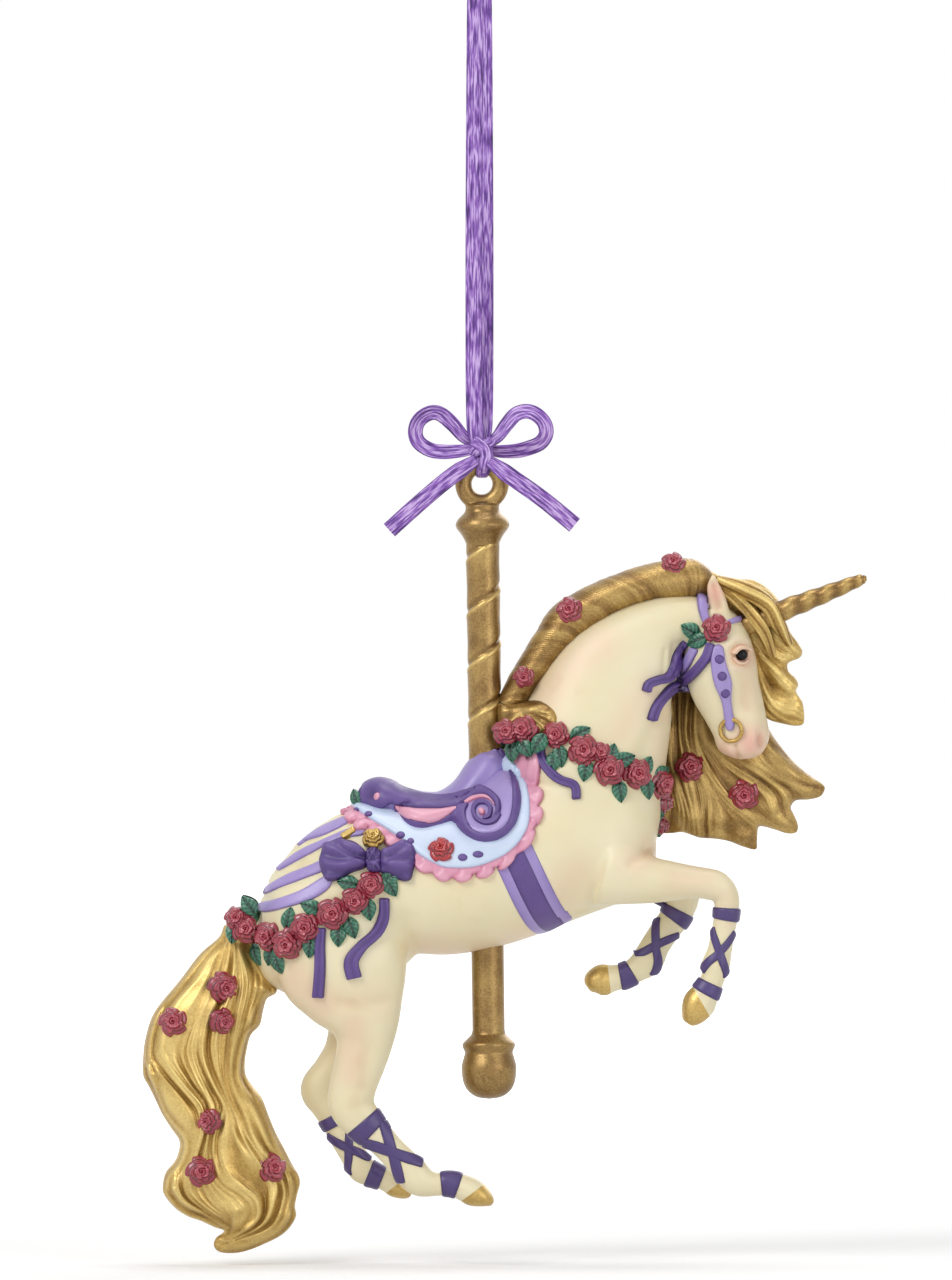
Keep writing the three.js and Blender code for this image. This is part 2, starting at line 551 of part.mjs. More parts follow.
const animal = skin(GAP);
add("horn", cutBy(HAIR.horn(0), animal), GOLD);
add("mane_crest", cutBy(HAIR.crest(0), animal, poleBore), GOLD);
add("mane_fall", cutBy(HAIR.fall(0), animal, hair.crest), GOLD);
add("forelock", cutBy(HAIR.forelock(0), animal, hair.crest, hair.fall, hair.horn, eyeball(FAR, GAP)), GOLD);
add("tail", cutBy(HAIR.tail(0), animal), GOLD);

// Saddlery, in side view
const BLANKET = [
  [-22, -45], [-22.2, -53], [-19.5, -54], [-16.3, -55.5], [-13.6, -57.6], [-10, -59.7], [-5.4, -61.5],
  [-1.3, -61.3], [2, -60.2], [4.3, -59], [6.3, -57], [7.5, -54.6], [7.8, -51.4], [7.5, -48.6], [6.9, -46],
  [5.6, -43], [4, -38], [-10, -38],
];
const SADDLE_FLAP = [
  [-19, -50], [-17.8, -47.7], [-13, -46], [-7, -46], [-2, -44], [0.6, -42], [2.4, -42], [4, -44.3],
  [5.4, -47], [6.2, -50.4], [5.6, -53.3], [4.4, -55.4], [2.4, -56.8], [-0.3, -57.1], [-2.6, -56.2],
  [-3.9, -54.9], [-6.7, -55.2], [-9.4, -55.6], [-11.5, -55.2], [-13.4, -53.6], [-14.3, -51.6], [-17.4, -51.6],
];
const SEAT = [
  [-19, -50, 1.2, 3.4], [-16.6, -50, 2.5, 5.8], [-12.4, -51.6, 2.9, 6.6], [-7, -52, 2.8, 6.4],
  [-3.2, -50.2, 2.9, 5.8], [-0.5, -47, 3, 5], [1.3, -44, 2.5, 4], [2.2, -42.4, 1.2, 2],
];

function blanket(grow) {
  return drape(outline(BLANKET, 1, grow), GAP - grow, BLANKET_THICKNESS + 2 * grow);
}

// Scalloped edge all round the blanket
function border(grow) {
  const inner = outline(BLANKET, 3, GAP - grow);
  const outer = inner.map((spot, i) => {
    const wave = Math.abs(Math.sin((Math.PI * SCALLOPS * i) / inner.length));
    const before = inner[(i + inner.length - 1) % inner.length];
    const after = inner[(i + 1) % inner.length];
    const along = after.clone().sub(before).normalize();
    const way = THREE.ShapeUtils.isClockWise(inner) ? -1 : 1;
    const reach = BORDER_WIDTH * (0.7 + 0.3 * wave) + 2 * grow;
    return spot.clone().add(new THREE.Vector2(along.y, -along.x).multiplyScalar(way * reach));
  });
  return drape(outer, GAP - grow, BORDER_THICKNESS + 2 * grow).subtract(prism(inner));
}

function saddle(grow) {
  const flaps = drape(outline(SADDLE_FLAP, 1, grow), SADDLE_LIFT - grow, SADDLE_THICKNESS + 2 * grow);
  const seat = loft(SEAT, { sides: 10, steps: 1, grow }).subtract(skin(SADDLE_LIFT - grow));
  return joined([flaps, seat]);
}

const shaped = { blanket: blanket(GAP), border: border(GAP), saddle: saddle(GAP) };
add("saddle_blanket", cutBy(blanket(0), poleBore), PALE_BLUE);
add("blanket_border", cutBy(border(0), poleBore, hair.crest), PINK);
add("saddle", cutBy(saddle(0), poleBore, hair.crest), LILAC);

const GIRTH = [[5.6, -59.8], [10.9, -70.6], [13.4, -76]];
const GIRTH_WIDTH = 5.4;
const girth = drape(strip(GIRTH, GIRTH_WIDTH, 1), GAP, STRAP_THICKNESS);
add("girth", cutBy(girth, shaped.border, shaped.blanket), LILAC);

// Straps that fan over the rump, held together under the bow
const RUMP_STRAPS = [
  { line: [[-21.6, -54.4], [-29.6, -58.4]], width: 0.9 },
  { line: [[-20.4, -56], [-32.6, -61.4]], width: 1.6 },
  { line: [[-21.4, -58.8], [-34.4, -65]], width: 1.6 },
  { line: [[-22, -62.8], [-35.2, -67.8]], width: 1.5 },
  { line: [[-25.6, -56], [-24, -59], [-23.4, -64]], width: 1.8 },
];
function rumpStraps(side, grow) {
  return joined(RUMP_STRAPS.map(({ line, width }) => {
    const flat = strip(line, width + 2 * grow, line.length - 1);
    return drape(flat, GAP - grow, STRAP_THICKNESS + 2 * grow, halfDepth(side));
  }));
}

// Leg lacing: a band at each end, and two runs that cross on the near face and go half round the leg
const LACE_STEPS = 8;
function lacing(name) {
  const stations = LEGS[name];
  const line = new THREE.CatmullRomCurve3(stations.map(([x, z, , , y]) => point(x, y, z)));
  const size = new THREE.CatmullRomCurve3(stations.map(([, , high, deep]) => point(high, deep, 0)));
  const lift = GAP + LACE_THICKNESS / 2;
  const onLeg = (station, angle) => {
    const t = station / (stations.length - 1);
    const along = line.getTangent(t);
    const up = point(-along.z, 0, along.x).normalize();
    const across = up.clone().cross(along);
    const { x: high, y: deep } = size.getPoint(t);
    return line.getPoint(t).addScaledVector(up, (high + lift) * Math.cos(angle))
      .addScaledVector(across, (deep + lift) * Math.sin(angle));
  };
  const [top, foot] = LACES[name];
  const band = (station) => {
    const along = line.getTangent(station / (stations.length - 1));
    const spot = (_, i) => onLeg(station, (2 * Math.PI * i) / LACE_STEPS);
    const ring = Array.from({ length: LACE_STEPS }, spot);
    return ribbon(ring, LACE_WIDTH, LACE_THICKNESS, () => along, { steps: LACE_STEPS, closed: true });
  };
  const run = (way) => {
    const spots = Array.from({ length: LACE_STEPS + 1 }, (_, i) => {
      const share = i / LACE_STEPS;
      return onLeg(top + (foot - top) * share, Math.PI * (-0.5 + way * (share - 0.5)));
    });
    const middle = (share) => line.getPoint((top + (foot - top) * share) / (stations.length - 1));
    const path = new THREE.CatmullRomCurve3(spots);
    const turn = (t) => path.getPoint(t).sub(middle(t)).cross(path.getTangent(t));
    return ribbon(spots, LACE_WIDTH, LACE_THICKNESS, turn, { steps: LACE_STEPS });
  };
  return joined([band(top), band(foot), run(-1), run(1)]);
}
for (const name of Object.keys(LACES)) add(`lacing_${name}`, lacing(name), PURPLE);

// Where a flower sits on a surface. A sight line that passes over it slides down to the edge.
const EDGE_STEP = 0.25;
const EDGE_SEARCH = 12;
function seatOf(target, x, z, side) {
  let hit = surface(target, x, z, side);
  let level = z;
  while (!hit && level > z - EDGE_SEARCH) {
    level -= EDGE_STEP;
    hit = surface(target, x, level, side);
  }
  return hit;
}

function roseOn(target, [x, z, radius], side, grow = 0) {
  const { at, out } = seatOf(target, x, z, side);
  return planted(rose(radius, grow), at.addScaledVector(out, GAP), out);
}

// Bow on the rump with a rosette above it
const BOW_LOBES = [[-22.3, -60.2, 3.5, 2.9], [-17.6, -60.2, 2.8, 1.8], [-13.2, -60.6, 2.7, 2.8]];
const BOW_HEIGHT = 3.2;
const ROSETTE = [-17.4, -57.3, 1.7];
function rumpBow(side, grow) {
  const lobes = BOW_LOBES.map(([x, z, long, high]) => {
    const { at } = seatOf(bodyMesh, x, z, side);
    const ball = new THREE.SphereGeometry(1, 8, 5);
    ball.scale(long + grow, BOW_HEIGHT + grow, high + grow).translate(...at.toArray());
    return solid(ball);
  });
  return joined([...lobes, roseOn(bodyMesh, ROSETTE, side, grow)]);
}

// Garlands: roses strung on a stem that lies on the animal
const BREAST_ROSES = [[4.4, -40.4, 1.8], [7.9, -39.8, 2.1], [12, -40.4, 2.1], [16.4, -42.8, 2.4],
  [20.2, -45.6, 2.3], [24.2, -46.6, 2.2], [27.4, -48.2, 2]];
const CHEST_ROSE = [29.6, -50.6, 1.9];
const RUMP_ROSES = [[-17.8, -63.9, 2], [-20.4, -66.4, 2.1], [-23.9, -68.6, 2.5], [-28, -70.8, 2.3],
  [-30.9, -73, 2.3], [-33.8, -72, 2.1]];
const STEM_WIDTH = 1.4;
const STEM_THICKNESS = 0.7;

function stem(points) {
  return ribbon(points, STEM_WIDTH, STEM_THICKNESS, () => point(0, 0, 1), { steps: points.length });
}

const bodySpot = (side) => ([x, z]) => {
  const { at, out } = seatOf(bodyMesh, x, z, side);
  return at.addScaledVector(out, GAP + STEM_THICKNESS);
};

function breastGarland() {
  const chest = point(CHEST_ROSE[0] - 0.6, 0, CHEST_ROSE[1]);
  const front = planted(rose(CHEST_ROSE[2]), chest, point(1, 0, 0));
  const sides = [NEAR, FAR].flatMap((side) => [
    ...BREAST_ROSES.map((spot) => roseOn(bodyMesh, spot, side)),
    stem([...BREAST_ROSES.map(bodySpot(side)), chest]),
  ]);
  return joined([front, ...sides]);
}

function rumpGarland(side) {
  return joined([
    ...RUMP_ROSES.map((spot) => roseOn(bodyMesh, spot, side)),
    stem(RUMP_ROSES.map(bodySpot(side))),
  ]);
}

add("breast_garland", cutBy(breastGarland(), animal, hair.crest, hair.fall, shaped.blanket, shaped.border,
  shaped.saddle, poleBore), CRIMSON);
for (const [name, side] of SIDES) {
  const bow = rumpBow(side, GAP);
  const straps = rumpStraps(side, GAP);
  const garland = cutBy(rumpGarland(side), animal, hair.tail, bow, straps, shaped.border);
  add(`rump_garland_${name}`, garland, CRIMSON);
  add(`rump_bow_${name}`, cutBy(rumpBow(side, 0), animal, straps, shaped.border, shaped.blanket), PURPLE);
  add(`rump_straps_${name}`, cutBy(rumpStraps(side, 0), shaped.border, shaped.blanket), LILAC);
}

// Bridle: cheek strap with its bit ring
const CHEEK = [[37.6, -25.9], [38.1, -29.8], [38.9, -33.8], [39.8, -38.4]];
const CHEEK_WIDTH = 1.7;
const BIT_PLACE = [40, -39.4];
const BRIDLE_ROSE = [37.3, -23.6, 2.3];
function bridle(side) {
  const { at, out } = surface(bodyMesh, ...BIT_PLACE, side);
  const ring = new THREE.TorusGeometry(BIT_RADIUS, BIT_WIRE, 5, 10);
  const pieces = [
    drape(strip(CHEEK, CHEEK_WIDTH, 4), GAP, STRAP_THICKNESS, halfDepth(side)),
    planted(ring, at.addScaledVector(out, GAP + BIT_WIRE), out),
  ];
  return joined(pieces);
}
for (const [name, side] of SIDES) {
  const bloom = roseOn(bodyMesh, BRIDLE_ROSE, side, GAP);
  const clear = [animal, hair.crest, hair.fall, hair.forelock];
  add(`bridle_${name}`, cutBy(bridle(side), ...clear, bloom), LILAC);
  add(`bridle_rose_${name}`, cutBy(roseOn(bodyMesh, BRIDLE_ROSE, side), ...clear), CRIMSON);
}

// Single roses on the hair and the blanket
const SINGLE_ROSES = {
  crest: [[14, -20.4, 2.1], [7, -30.6, 1.7], [30.4, -12, 1.9]],
  fall: [[33.6, -45.4, 2.4], [42.1, -49.6, 2.5]],
  tail: [[-41.4, -80, 2.5], [-48.6, -86, 2.3], [-41.4, -85.8, 2.2], [-43.5, -101.8, 2.1],
    [-44.9, -109.8, 2.5], [-33.8, -109.2, 2.4]],
};
for (const [where, spots] of Object.entries(SINGLE_ROSES)) {
  const carrier = sightMesh(HAIR[where](0));
  spots.forEach((spot, i) => {
    const earlier = spots.slice(0, i).map((other) => roseOn(carrier, other, NEAR, GAP));
    const bloom = cutBy(roseOn(carrier, spot, NEAR), hair[where], animal, ...earlier);
    add(`rose_${where}_${i + 1}`, bloom, CRIMSON);
  });
}
const BLANKET_ROSE = [-6.5, -58.4, 2.1];
const blanketMesh = sightMesh(skin(GAP + BLANKET_THICKNESS));
for (const [name, side] of SIDES) {
  add(`blanket_rose_${name}`, cutBy(roseOn(blanketMesh, BLANKET_ROSE, side), shaped.blanket, shaped.border,
    shaped.saddle), CRIMSON);
}

// Ribbon: the wrap round the eye, the knot, the bow and the hanging length, measured from the top of the wrap
const WRAP_WIDTH = 1.9;
const WRAP_ROOM_WIDTH = 8;
const KNOT = [[0.1, KNOT_HEIGHT, 0.6, 0.7], [0.1, KNOT_HEIGHT - 0.5, 1.1, 1.2],
  [0.1, KNOT_HEIGHT - 1.5, 1.3, 1.5], [0.1, -0.55, 1.2, 1.7]];
const wrapTube = (inside, outside, width) => {
  const section = new THREE.Shape().absarc(0, 0, outside, 0, 2 * Math.PI);
  section.holes.push(new THREE.Path().absarc(0, 0, inside, 0, 2 * Math.PI));
  const geometry = new THREE.ExtrudeGeometry(section, { depth: width, bevelEnabled: false, curveSegments: 10 });
  geometry.translate(0, 0, -width / 2).rotateY(Math.PI / 2).translate(0, 0, -WRAP_RADIUS);
  return solid(geometry);
};
const wrapRoom = solid(new THREE.CylinderGeometry(WRAP_RADIUS + GAP, WRAP_RADIUS + GAP, WRAP_ROOM_WIDTH, 20)
  .rotateZ(Math.PI / 2).translate(0, 0, -WRAP_RADIUS));
add("ribbon_eye_loop", wrapTube(WRAP_INSIDE, WRAP_RADIUS, WRAP_WIDTH), RIBBON, hung);
const knot = (grow) => loft(KNOT, { sides: 10, steps: 1, grow });
add("bow_knot", knot(0).subtract(wrapRoom), RIBBON, hung);

const LOOPS = {
  left: [[-0.9, 1.5], [-2.9, 2.65], [-4.7, 4.65], [-6.6, 6.25], [-8.3, 6.45], [-10.1, 5.25], [-10.7, 3.35],
    [-10.1, 1.65], [-8.2, 0.45], [-5.8, 0.15], [-2.9, 0.35], [-0.9, 0.7]],
  right: [[0.9, 1.4], [2.5, 2.6], [3.8, 4.35], [5.4, 6.15], [7.2, 6.65], [8.8, 6.05], [10, 4.65], [10.2, 3.05],
    [9.3, 1.65], [7.5, 0.85], [5.3, 0.35], [2.6, 0.3], [0.9, 0.6]],
};
const TAIL_FRONT = -(WRAP_RADIUS + GAP + RIBBON_THICKNESS);
const TAILS = {
  left: [[-1, -1.15, 0], [-5.1, -3.95, -1], [-9.9, -7.95, -0.9], [-14.8, -12.35, -0.2]],
  right: [[1.2, -1.35, 0], [5.1, -4.15, -1], [9.6, -7.35, -0.9], [14.8, -11.55, -0.2]],
};
const LOOP_OPEN = 1.8;            // how far a loop's face turns towards the viewer
const LOOP_DEPTH = 0.5;
const GATHERED = 0.4;            // share of the ribbon's width at the knot
const gather = (t) => GATHERED + (1 - GATHERED) * Math.sqrt(Math.sin(Math.PI * t));
for (const [side, spots] of Object.entries(LOOPS)) {
  const flat = new THREE.CatmullRomCurve3(spots.map(([x, z]) => point(x, 0, z)));
  const turn = (t) => {
    const along = flat.getTangent(t);
    return point(-along.z * LOOP_OPEN, 1, along.x * LOOP_OPEN);
  };
  const depth = (i) => LOOP_DEPTH * Math.cos((Math.PI * i) / (spots.length - 1));
  const band = ribbon(spots.map(([x, z], i) => point(x, depth(i), z)), RIBBON_WIDTH, RIBBON_THICKNESS, turn,
    { gather });
  add(`bow_loop_${side}`, cutBy(band, knot(GAP), wrapRoom), RIBBON, hung);
}
for (const [side, spots] of Object.entries(TAILS)) {
  const band = ribbon(spots.map(([x, z, y]) => point(x, TAIL_FRONT + y, z)), RIBBON_WIDTH, RIBBON_THICKNESS,
    () => point(side === "left" ? -0.6 : 0.6, 0, 0.8), { steps: 8 });
  add(`bow_tail_${side}`, cutBy(band, knot(GAP), wrapRoom), RIBBON, hung);
}

const ARCH = HOOK_RADIUS + RIBBON_THICKNESS / 2;
const STRAND_SHIFT = 0.9;
const STRAND_MIDDLE = -0.4;
const STRAND_END = KNOT_HEIGHT + 2 * GAP + WRAP_TOP - EYE_DROP;
const hangerPoints = [[-0.45, -0.5, STRAND_END], [-1, -2.2, STRAND_END * 0.68], [-0.9, -4, STRAND_END * 0.36],
  [-0.7, -ARCH, -HOOK_RADIUS], [-0.4, -ARCH * 0.71, ARCH * 0.71 - HOOK_RADIUS]]
  .map(([shift, y, z]) => [STRAND_MIDDLE + shift * STRAND_SHIFT, y, z]);
const backPoints = hangerPoints.map(([x, y, z]) => [2 * STRAND_MIDDLE - x, -y, z]).reverse();
const STRAND_GATHERED = 0.6;
const strandGather = (t) => THREE.MathUtils.lerp(STRAND_GATHERED, 1, Math.min(1, 5 * Math.min(t, 1 - t)));
const hangerLine = [...hangerPoints, [STRAND_MIDDLE, 0, RIBBON_THICKNESS / 2], ...backPoints];
const hanger = ribbon(hangerLine.map((spot) => point(...spot)), RIBBON_WIDTH, RIBBON_THICKNESS,
  () => point(1, 0, 0), { steps: 30, gather: strandGather });
add("ribbon_hanger", hanger, RIBBON, root);

export default root;
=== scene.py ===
import json
import math

import bmesh
import bpy
import numpy as np
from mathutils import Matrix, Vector
from mathutils.bvhtree import BVHTree
from mathutils.geometry import delaunay_2d_cdt


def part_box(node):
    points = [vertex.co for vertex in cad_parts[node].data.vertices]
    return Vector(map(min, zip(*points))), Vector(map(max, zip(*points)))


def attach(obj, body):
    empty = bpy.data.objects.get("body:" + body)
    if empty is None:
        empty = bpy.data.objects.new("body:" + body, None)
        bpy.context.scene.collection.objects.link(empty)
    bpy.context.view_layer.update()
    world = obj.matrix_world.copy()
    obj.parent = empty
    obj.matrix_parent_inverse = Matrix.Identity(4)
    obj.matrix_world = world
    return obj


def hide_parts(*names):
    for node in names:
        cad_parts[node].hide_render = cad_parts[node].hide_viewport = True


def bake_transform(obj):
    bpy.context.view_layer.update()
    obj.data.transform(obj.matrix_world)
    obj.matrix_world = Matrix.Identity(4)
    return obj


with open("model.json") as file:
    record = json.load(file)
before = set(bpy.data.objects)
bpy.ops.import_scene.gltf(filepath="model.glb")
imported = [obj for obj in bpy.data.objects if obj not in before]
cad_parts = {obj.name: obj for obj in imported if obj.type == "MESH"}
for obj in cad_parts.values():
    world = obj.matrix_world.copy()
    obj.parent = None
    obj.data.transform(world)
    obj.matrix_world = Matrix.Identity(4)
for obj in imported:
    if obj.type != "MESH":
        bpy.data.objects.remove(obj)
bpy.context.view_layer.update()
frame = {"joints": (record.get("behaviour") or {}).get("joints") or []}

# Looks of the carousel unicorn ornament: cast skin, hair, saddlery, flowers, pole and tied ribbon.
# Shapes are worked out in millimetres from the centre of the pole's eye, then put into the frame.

MM = 0.001
NEAR = -1
FAR = 1
SIDES = (("near", NEAR), ("far", FAR))
JOINTS = {joint["name"]: joint for joint in frame["joints"]}
EYE = np.array(JOINTS["eye_swing"]["pos_m"]) / MM
SINK = 0.25                      # how far the rim of a trimming goes into what carries it
OUTSIDE = 60.0                   # where sight lines start, clear of the object

# The photograph's scale, and the pixel where it shows the centre of the eye
PIXEL = 0.16
EYE_PIXEL = (482, 484)
FRAME_PIXELS = (952, 1280)


def on_photo(*spots):
    """Photograph pixels as x, z from the eye."""
    return [((px - EYE_PIXEL[0]) * PIXEL, (EYE_PIXEL[1] - py) * PIXEL) for px, py in spots]


# Camera
CAMERA_DISTANCE = 2000.0
SENSOR = 36.0
CLIP_START = 0.05


def add_camera():
    """Looks level at the near side, framed as the photograph is."""
    data = bpy.data.cameras.new("camera")
    camera = bpy.data.objects.new("camera", data)
    bpy.context.scene.collection.objects.link(camera)
    middle = on_photo((FRAME_PIXELS[0] / 2, FRAME_PIXELS[1] / 2))[0]
    camera.location = to_frame([middle[0], -CAMERA_DISTANCE, middle[1]])
    camera.rotation_euler = (math.pi / 2, 0, 0)
    data.sensor_fit = "VERTICAL"
    data.sensor_height = SENSOR
    data.lens = SENSOR * CAMERA_DISTANCE / (FRAME_PIXELS[1] * PIXEL)
    data.clip_start = CLIP_START
    bpy.context.scene.camera = camera


def to_frame(points):
    """Millimetres from the eye to metres in the frame."""
    return (np.asarray(points, float) + EYE) * MM


# Curves and meshes
def smooth_line(points, count, closed=False):
    """Even steps along a smooth curve through the given points, whatever their columns hold."""
    given = np.asarray(points, float)
    if closed:
        ends = np.vstack([given[-1:], given, given[:2]])
    else:
        ends = np.vstack([2 * given[0] - given[1], given, 2 * given[-1] - given[-2]])
    spans = len(given) if closed else len(given) - 1
    where = np.linspace(0, spans, count, endpoint=not closed)
    span = np.minimum(where.astype(int), spans - 1)
    share = (where - span)[:, None]
    a, b, c, d = (ends[span + i] for i in range(4))
    return 0.5 * (2 * b + (c - a) * share + (2 * a - 5 * b + 4 * c - d) * share**2
                  + (3 * b - a - 3 * c + d) * share**3)


def full_turn(count):
    """Even angles once round."""
    return np.linspace(0, 2 * math.pi, count, endpoint=False)


def bell(offset, width):
    """1 at no offset, falling off over the width."""
    return np.exp(-((offset / width) ** 2))


def lengths(line):
    """Distance along a line at each of its points."""
    return np.concatenate([[0], np.cumsum(np.linalg.norm(np.diff(line, axis=0), axis=1))])


def filled_out(stations):
    """Stations as rows of x, z, half height, half depth, y. A y that is left out is 0."""
    return np.array([list(s) + [0.0] * (5 - len(s)) for s in stations])


def spun(side, degrees):
    """Angle from upright, mirrored on the far side."""
    return math.radians(degrees) * (1 if side == NEAR else -1)


def unit(vectors):
    """Each row at length one."""
    return vectors / np.maximum(np.linalg.norm(vectors, axis=-1, keepdims=True), 1e-9)


def grid_faces(rows, columns, closed):
    """Quads of a grid of points, joined round across the columns when closed."""
    spans = columns if closed else columns - 1
    row, column = np.meshgrid(np.arange(rows - 1), np.arange(spans), indexing="ij")
    here = row * columns + column
    beside = row * columns + (column + 1) % columns
    return np.stack([here, here + columns, beside + columns, beside], axis=-1).reshape(-1, 4).tolist()


class Heap:
    """Meshes gathered into one piece, with a relief value on each point: 0 in a groove, 1 on a ridge. In the
    colour it gives painted shade towards 0 and a painted highlight towards 1.
    """

    def __init__(self):
        self.points = []
        self.faces = []
        self.relief = []
        self.comb = []
        self.count = 0

    def add(self, points, faces, relief=0.5, comb=0.0):
        """Adds one mesh and returns the heap. comb counts hairs across a lock."""
        points = np.asarray(points, float).reshape(-1, 3)
        self.points.append(points)
        self.faces.extend([[i + self.count for i in face] for face in faces])
        self.relief.append(np.broadcast_to(np.asarray(relief, float).reshape(-1), len(points)))
        self.comb.append(np.broadcast_to(np.asarray(comb, float).reshape(-1), len(points)))
        self.count += len(points)
        return self

    def tube(self, rings, relief=0.5, comb=0.0):
        """Adds a closed tube of rings with a flat cap at each end."""
        rows, columns = rings.shape[:2]
        points = np.vstack([rings.reshape(-1, 3), rings[0].mean(0), rings[-1].mean(0)])
        faces = grid_faces(rows, columns, True)
        start = rows * columns
        last = start - columns
        faces += [[start, (j + 1) % columns, j] for j in range(columns)]
        faces += [[start + 1, last + j, last + (j + 1) % columns] for j in range(columns)]
        capped = []
        for value in (relief, comb):
            flat = np.broadcast_to(np.asarray(value, float), (rows, columns)).reshape(-1)
            capped.append(np.append(flat, [flat[:columns].mean(), flat[-columns:].mean()]))
        return self.add(points, faces, *capped)

    def arrays(self):
        """All points, faces and relief values."""
        return np.vstack(self.points), self.faces, np.concatenate(self.relief)


def piece(name, heap, material, replaces=(), body="figure", extra=None, uv=None):
    """Makes a heap into an object that rides on a body and stands for CAD nodes."""
    points, faces, relief = heap.arrays()
    mesh = bpy.data.meshes.new(name)
    mesh.from_pydata(to_frame(points).tolist(), [], faces)
    mesh.polygons.foreach_set("use_smooth", np.ones(len(mesh.polygons), bool))
    for key, values in {"relief": relief, "comb": np.concatenate(heap.comb), **(extra or {})}.items():
        mesh.attributes.new(key, "FLOAT", "POINT").data.foreach_set("value", np.asarray(values, np.float32))
    if uv is not None:
        corner = np.empty(len(mesh.loops), int)
        mesh.loops.foreach_get("vertex_index", corner)
        mesh.uv_layers.new(name="weave").data.foreach_set("uv", uv[corner].ravel().astype(np.float32))
    mesh.materials.append(material)
    made = bpy.data.objects.new(name, mesh)
    bpy.context.scene.collection.objects.link(made)
    if body:
        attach(made, body)
    if replaces:
        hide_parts(*replaces)
    return made


LEAST_HALF = 0.05
LEAST_RADIUS = 0.02
SOFTEN = 0.5


def loft(stations, rings, sides, ridge=None):
    """Oval rings along a smooth line through the stations, and the ridge wave on them."""
    run = smooth_line(filled_out(stations), rings)
    line = run[:, [0, 4, 1]]
    along = unit(np.gradient(line, axis=0))
    up = unit(np.stack([-along[:, 2], np.zeros(rings), along[:, 0]], axis=1))
    across = np.cross(up, along)
    share = np.linspace(0, 1, rings)[:, None]
    angle = full_turn(sides)[None, :]
    wave = ridge(share, angle) if ridge else np.zeros((rings, sides))
    high = np.maximum(run[:, 2:3], LEAST_HALF) * (1 + wave)
    deep = np.maximum(run[:, 3:4], LEAST_HALF) * (1 + wave)
    points = (line[:, None] + up[:, None] * (high * np.cos(angle))[..., None]
              + across[:, None] * (deep * np.sin(angle))[..., None])
    return points, wave


def lathe(profile, sides, rows):
    """Rings turned about the upright axis. The profile is radius, z."""
    radius, level = smooth_line(profile, rows).T
    angle = full_turn(sides)
    radius = np.maximum(radius, LEAST_RADIUS)[:, None]
    level = np.repeat(level[:, None], sides, 1)
    return np.stack([radius * np.cos(angle), radius * np.sin(angle), level], axis=-1)


def wire_ring(radius, wire, turns, sides):
    """Rings of a round wire bent once round +Z."""
    turn = np.linspace(0, 2 * math.pi, turns)[:, None]
    angle = full_turn(sides)
    reach = radius + wire * np.cos(angle)[None]
    depth = np.repeat((wire * np.sin(angle))[None], turns, 0)
    return np.stack([reach * np.cos(turn), reach * np.sin(turn), depth], axis=-1)


def remeshed(heap, voxel, rounds):
    """One closed skin round overlapping meshes, smoothed: points and quads."""
    points, faces, _ = heap.arrays()
    mesh = bpy.data.meshes.new("draft")
    mesh.from_pydata(points.tolist(), [], faces)
    draft = bpy.data.objects.new("draft", mesh)
    bpy.context.scene.collection.objects.link(draft)
    cells = draft.modifiers.new("cells", "REMESH")
    cells.mode = "VOXEL"
    cells.voxel_size = voxel
    soften = draft.modifiers.new("soften", "SMOOTH")
    soften.factor = SOFTEN
    soften.iterations = rounds
    bpy.context.view_layer.update()
    result = bpy.data.meshes.new_from_object(draft.evaluated_get(bpy.context.evaluated_depsgraph_get()))
    made = np.empty(len(result.vertices) * 3)
    result.vertices.foreach_get("co", made)
    quads = np.empty(len(result.loops), int)
    result.loops.foreach_get("vertex_index", quads)
    bpy.data.objects.remove(draft)
    bpy.data.meshes.remove(result)
    return made.reshape(-1, 3), quads.reshape(-1, 4)


def point_normals(points, quads):
    """Outward direction at each point of a quad mesh."""
    a, b, c, d = (points[quads[:, i]] for i in range(4))
    out = np.cross(c - a, d - b)
    total = np.zeros_like(points)
    for i in range(4):
        for axis in range(3):
            total[:, axis] += np.bincount(quads[:, i], out[:, axis], len(points))
    return unit(total)


def relax(points, quads, rounds, weight):
    """Evens out a quad mesh where the weight is high."""
    start = quads.ravel()
    end = np.roll(quads, -1, axis=1).ravel()
    links = np.bincount(start, minlength=len(points)) + np.bincount(end, minlength=len(points))
    for _ in range(rounds):
        mean = np.empty_like(points)
        for axis in range(3):
            mean[:, axis] = (np.bincount(start, points[end, axis], len(points))
                             + np.bincount(end, points[start, axis], len(points)))
        points = points + weight[:, None] * (mean / links[:, None] - points)
    return points


# Surfaces that trimmings lie on
class Carrier:
    """A mesh with ways to find points on it."""

    def __init__(self, points, faces):
        self.tree = BVHTree.FromPolygons(np.asarray(points).tolist(), [list(map(int, f)) for f in faces])

    def towards(self, start, way):
        """Where a sight line meets the mesh, or the nearest place where it passes by."""
        place, normal, _, _ = self.tree.ray_cast(Vector(start), Vector(way))
        if place is None:
            ahead = Vector(start) + Vector(way) * OUTSIDE
            place, normal, _, _ = self.tree.find_nearest(ahead)
        if normal.dot(Vector(way)) > 0:
            normal = -normal
        return np.array(place), np.array(normal)


class SideView:
    """Map of one side as the camera sees it: x, z."""

    def __init__(self, carrier, side):
        self.carrier = carrier
        self.side = side

    def lay(self, spots):
        """Points and outward directions for map places."""
        found = [self.carrier.towards((x, self.side * OUTSIDE, z), (0, -self.side, 0)) for x, z in spots]
        return np.array([f[0] for f in found]), np.array([f[1] for f in found])


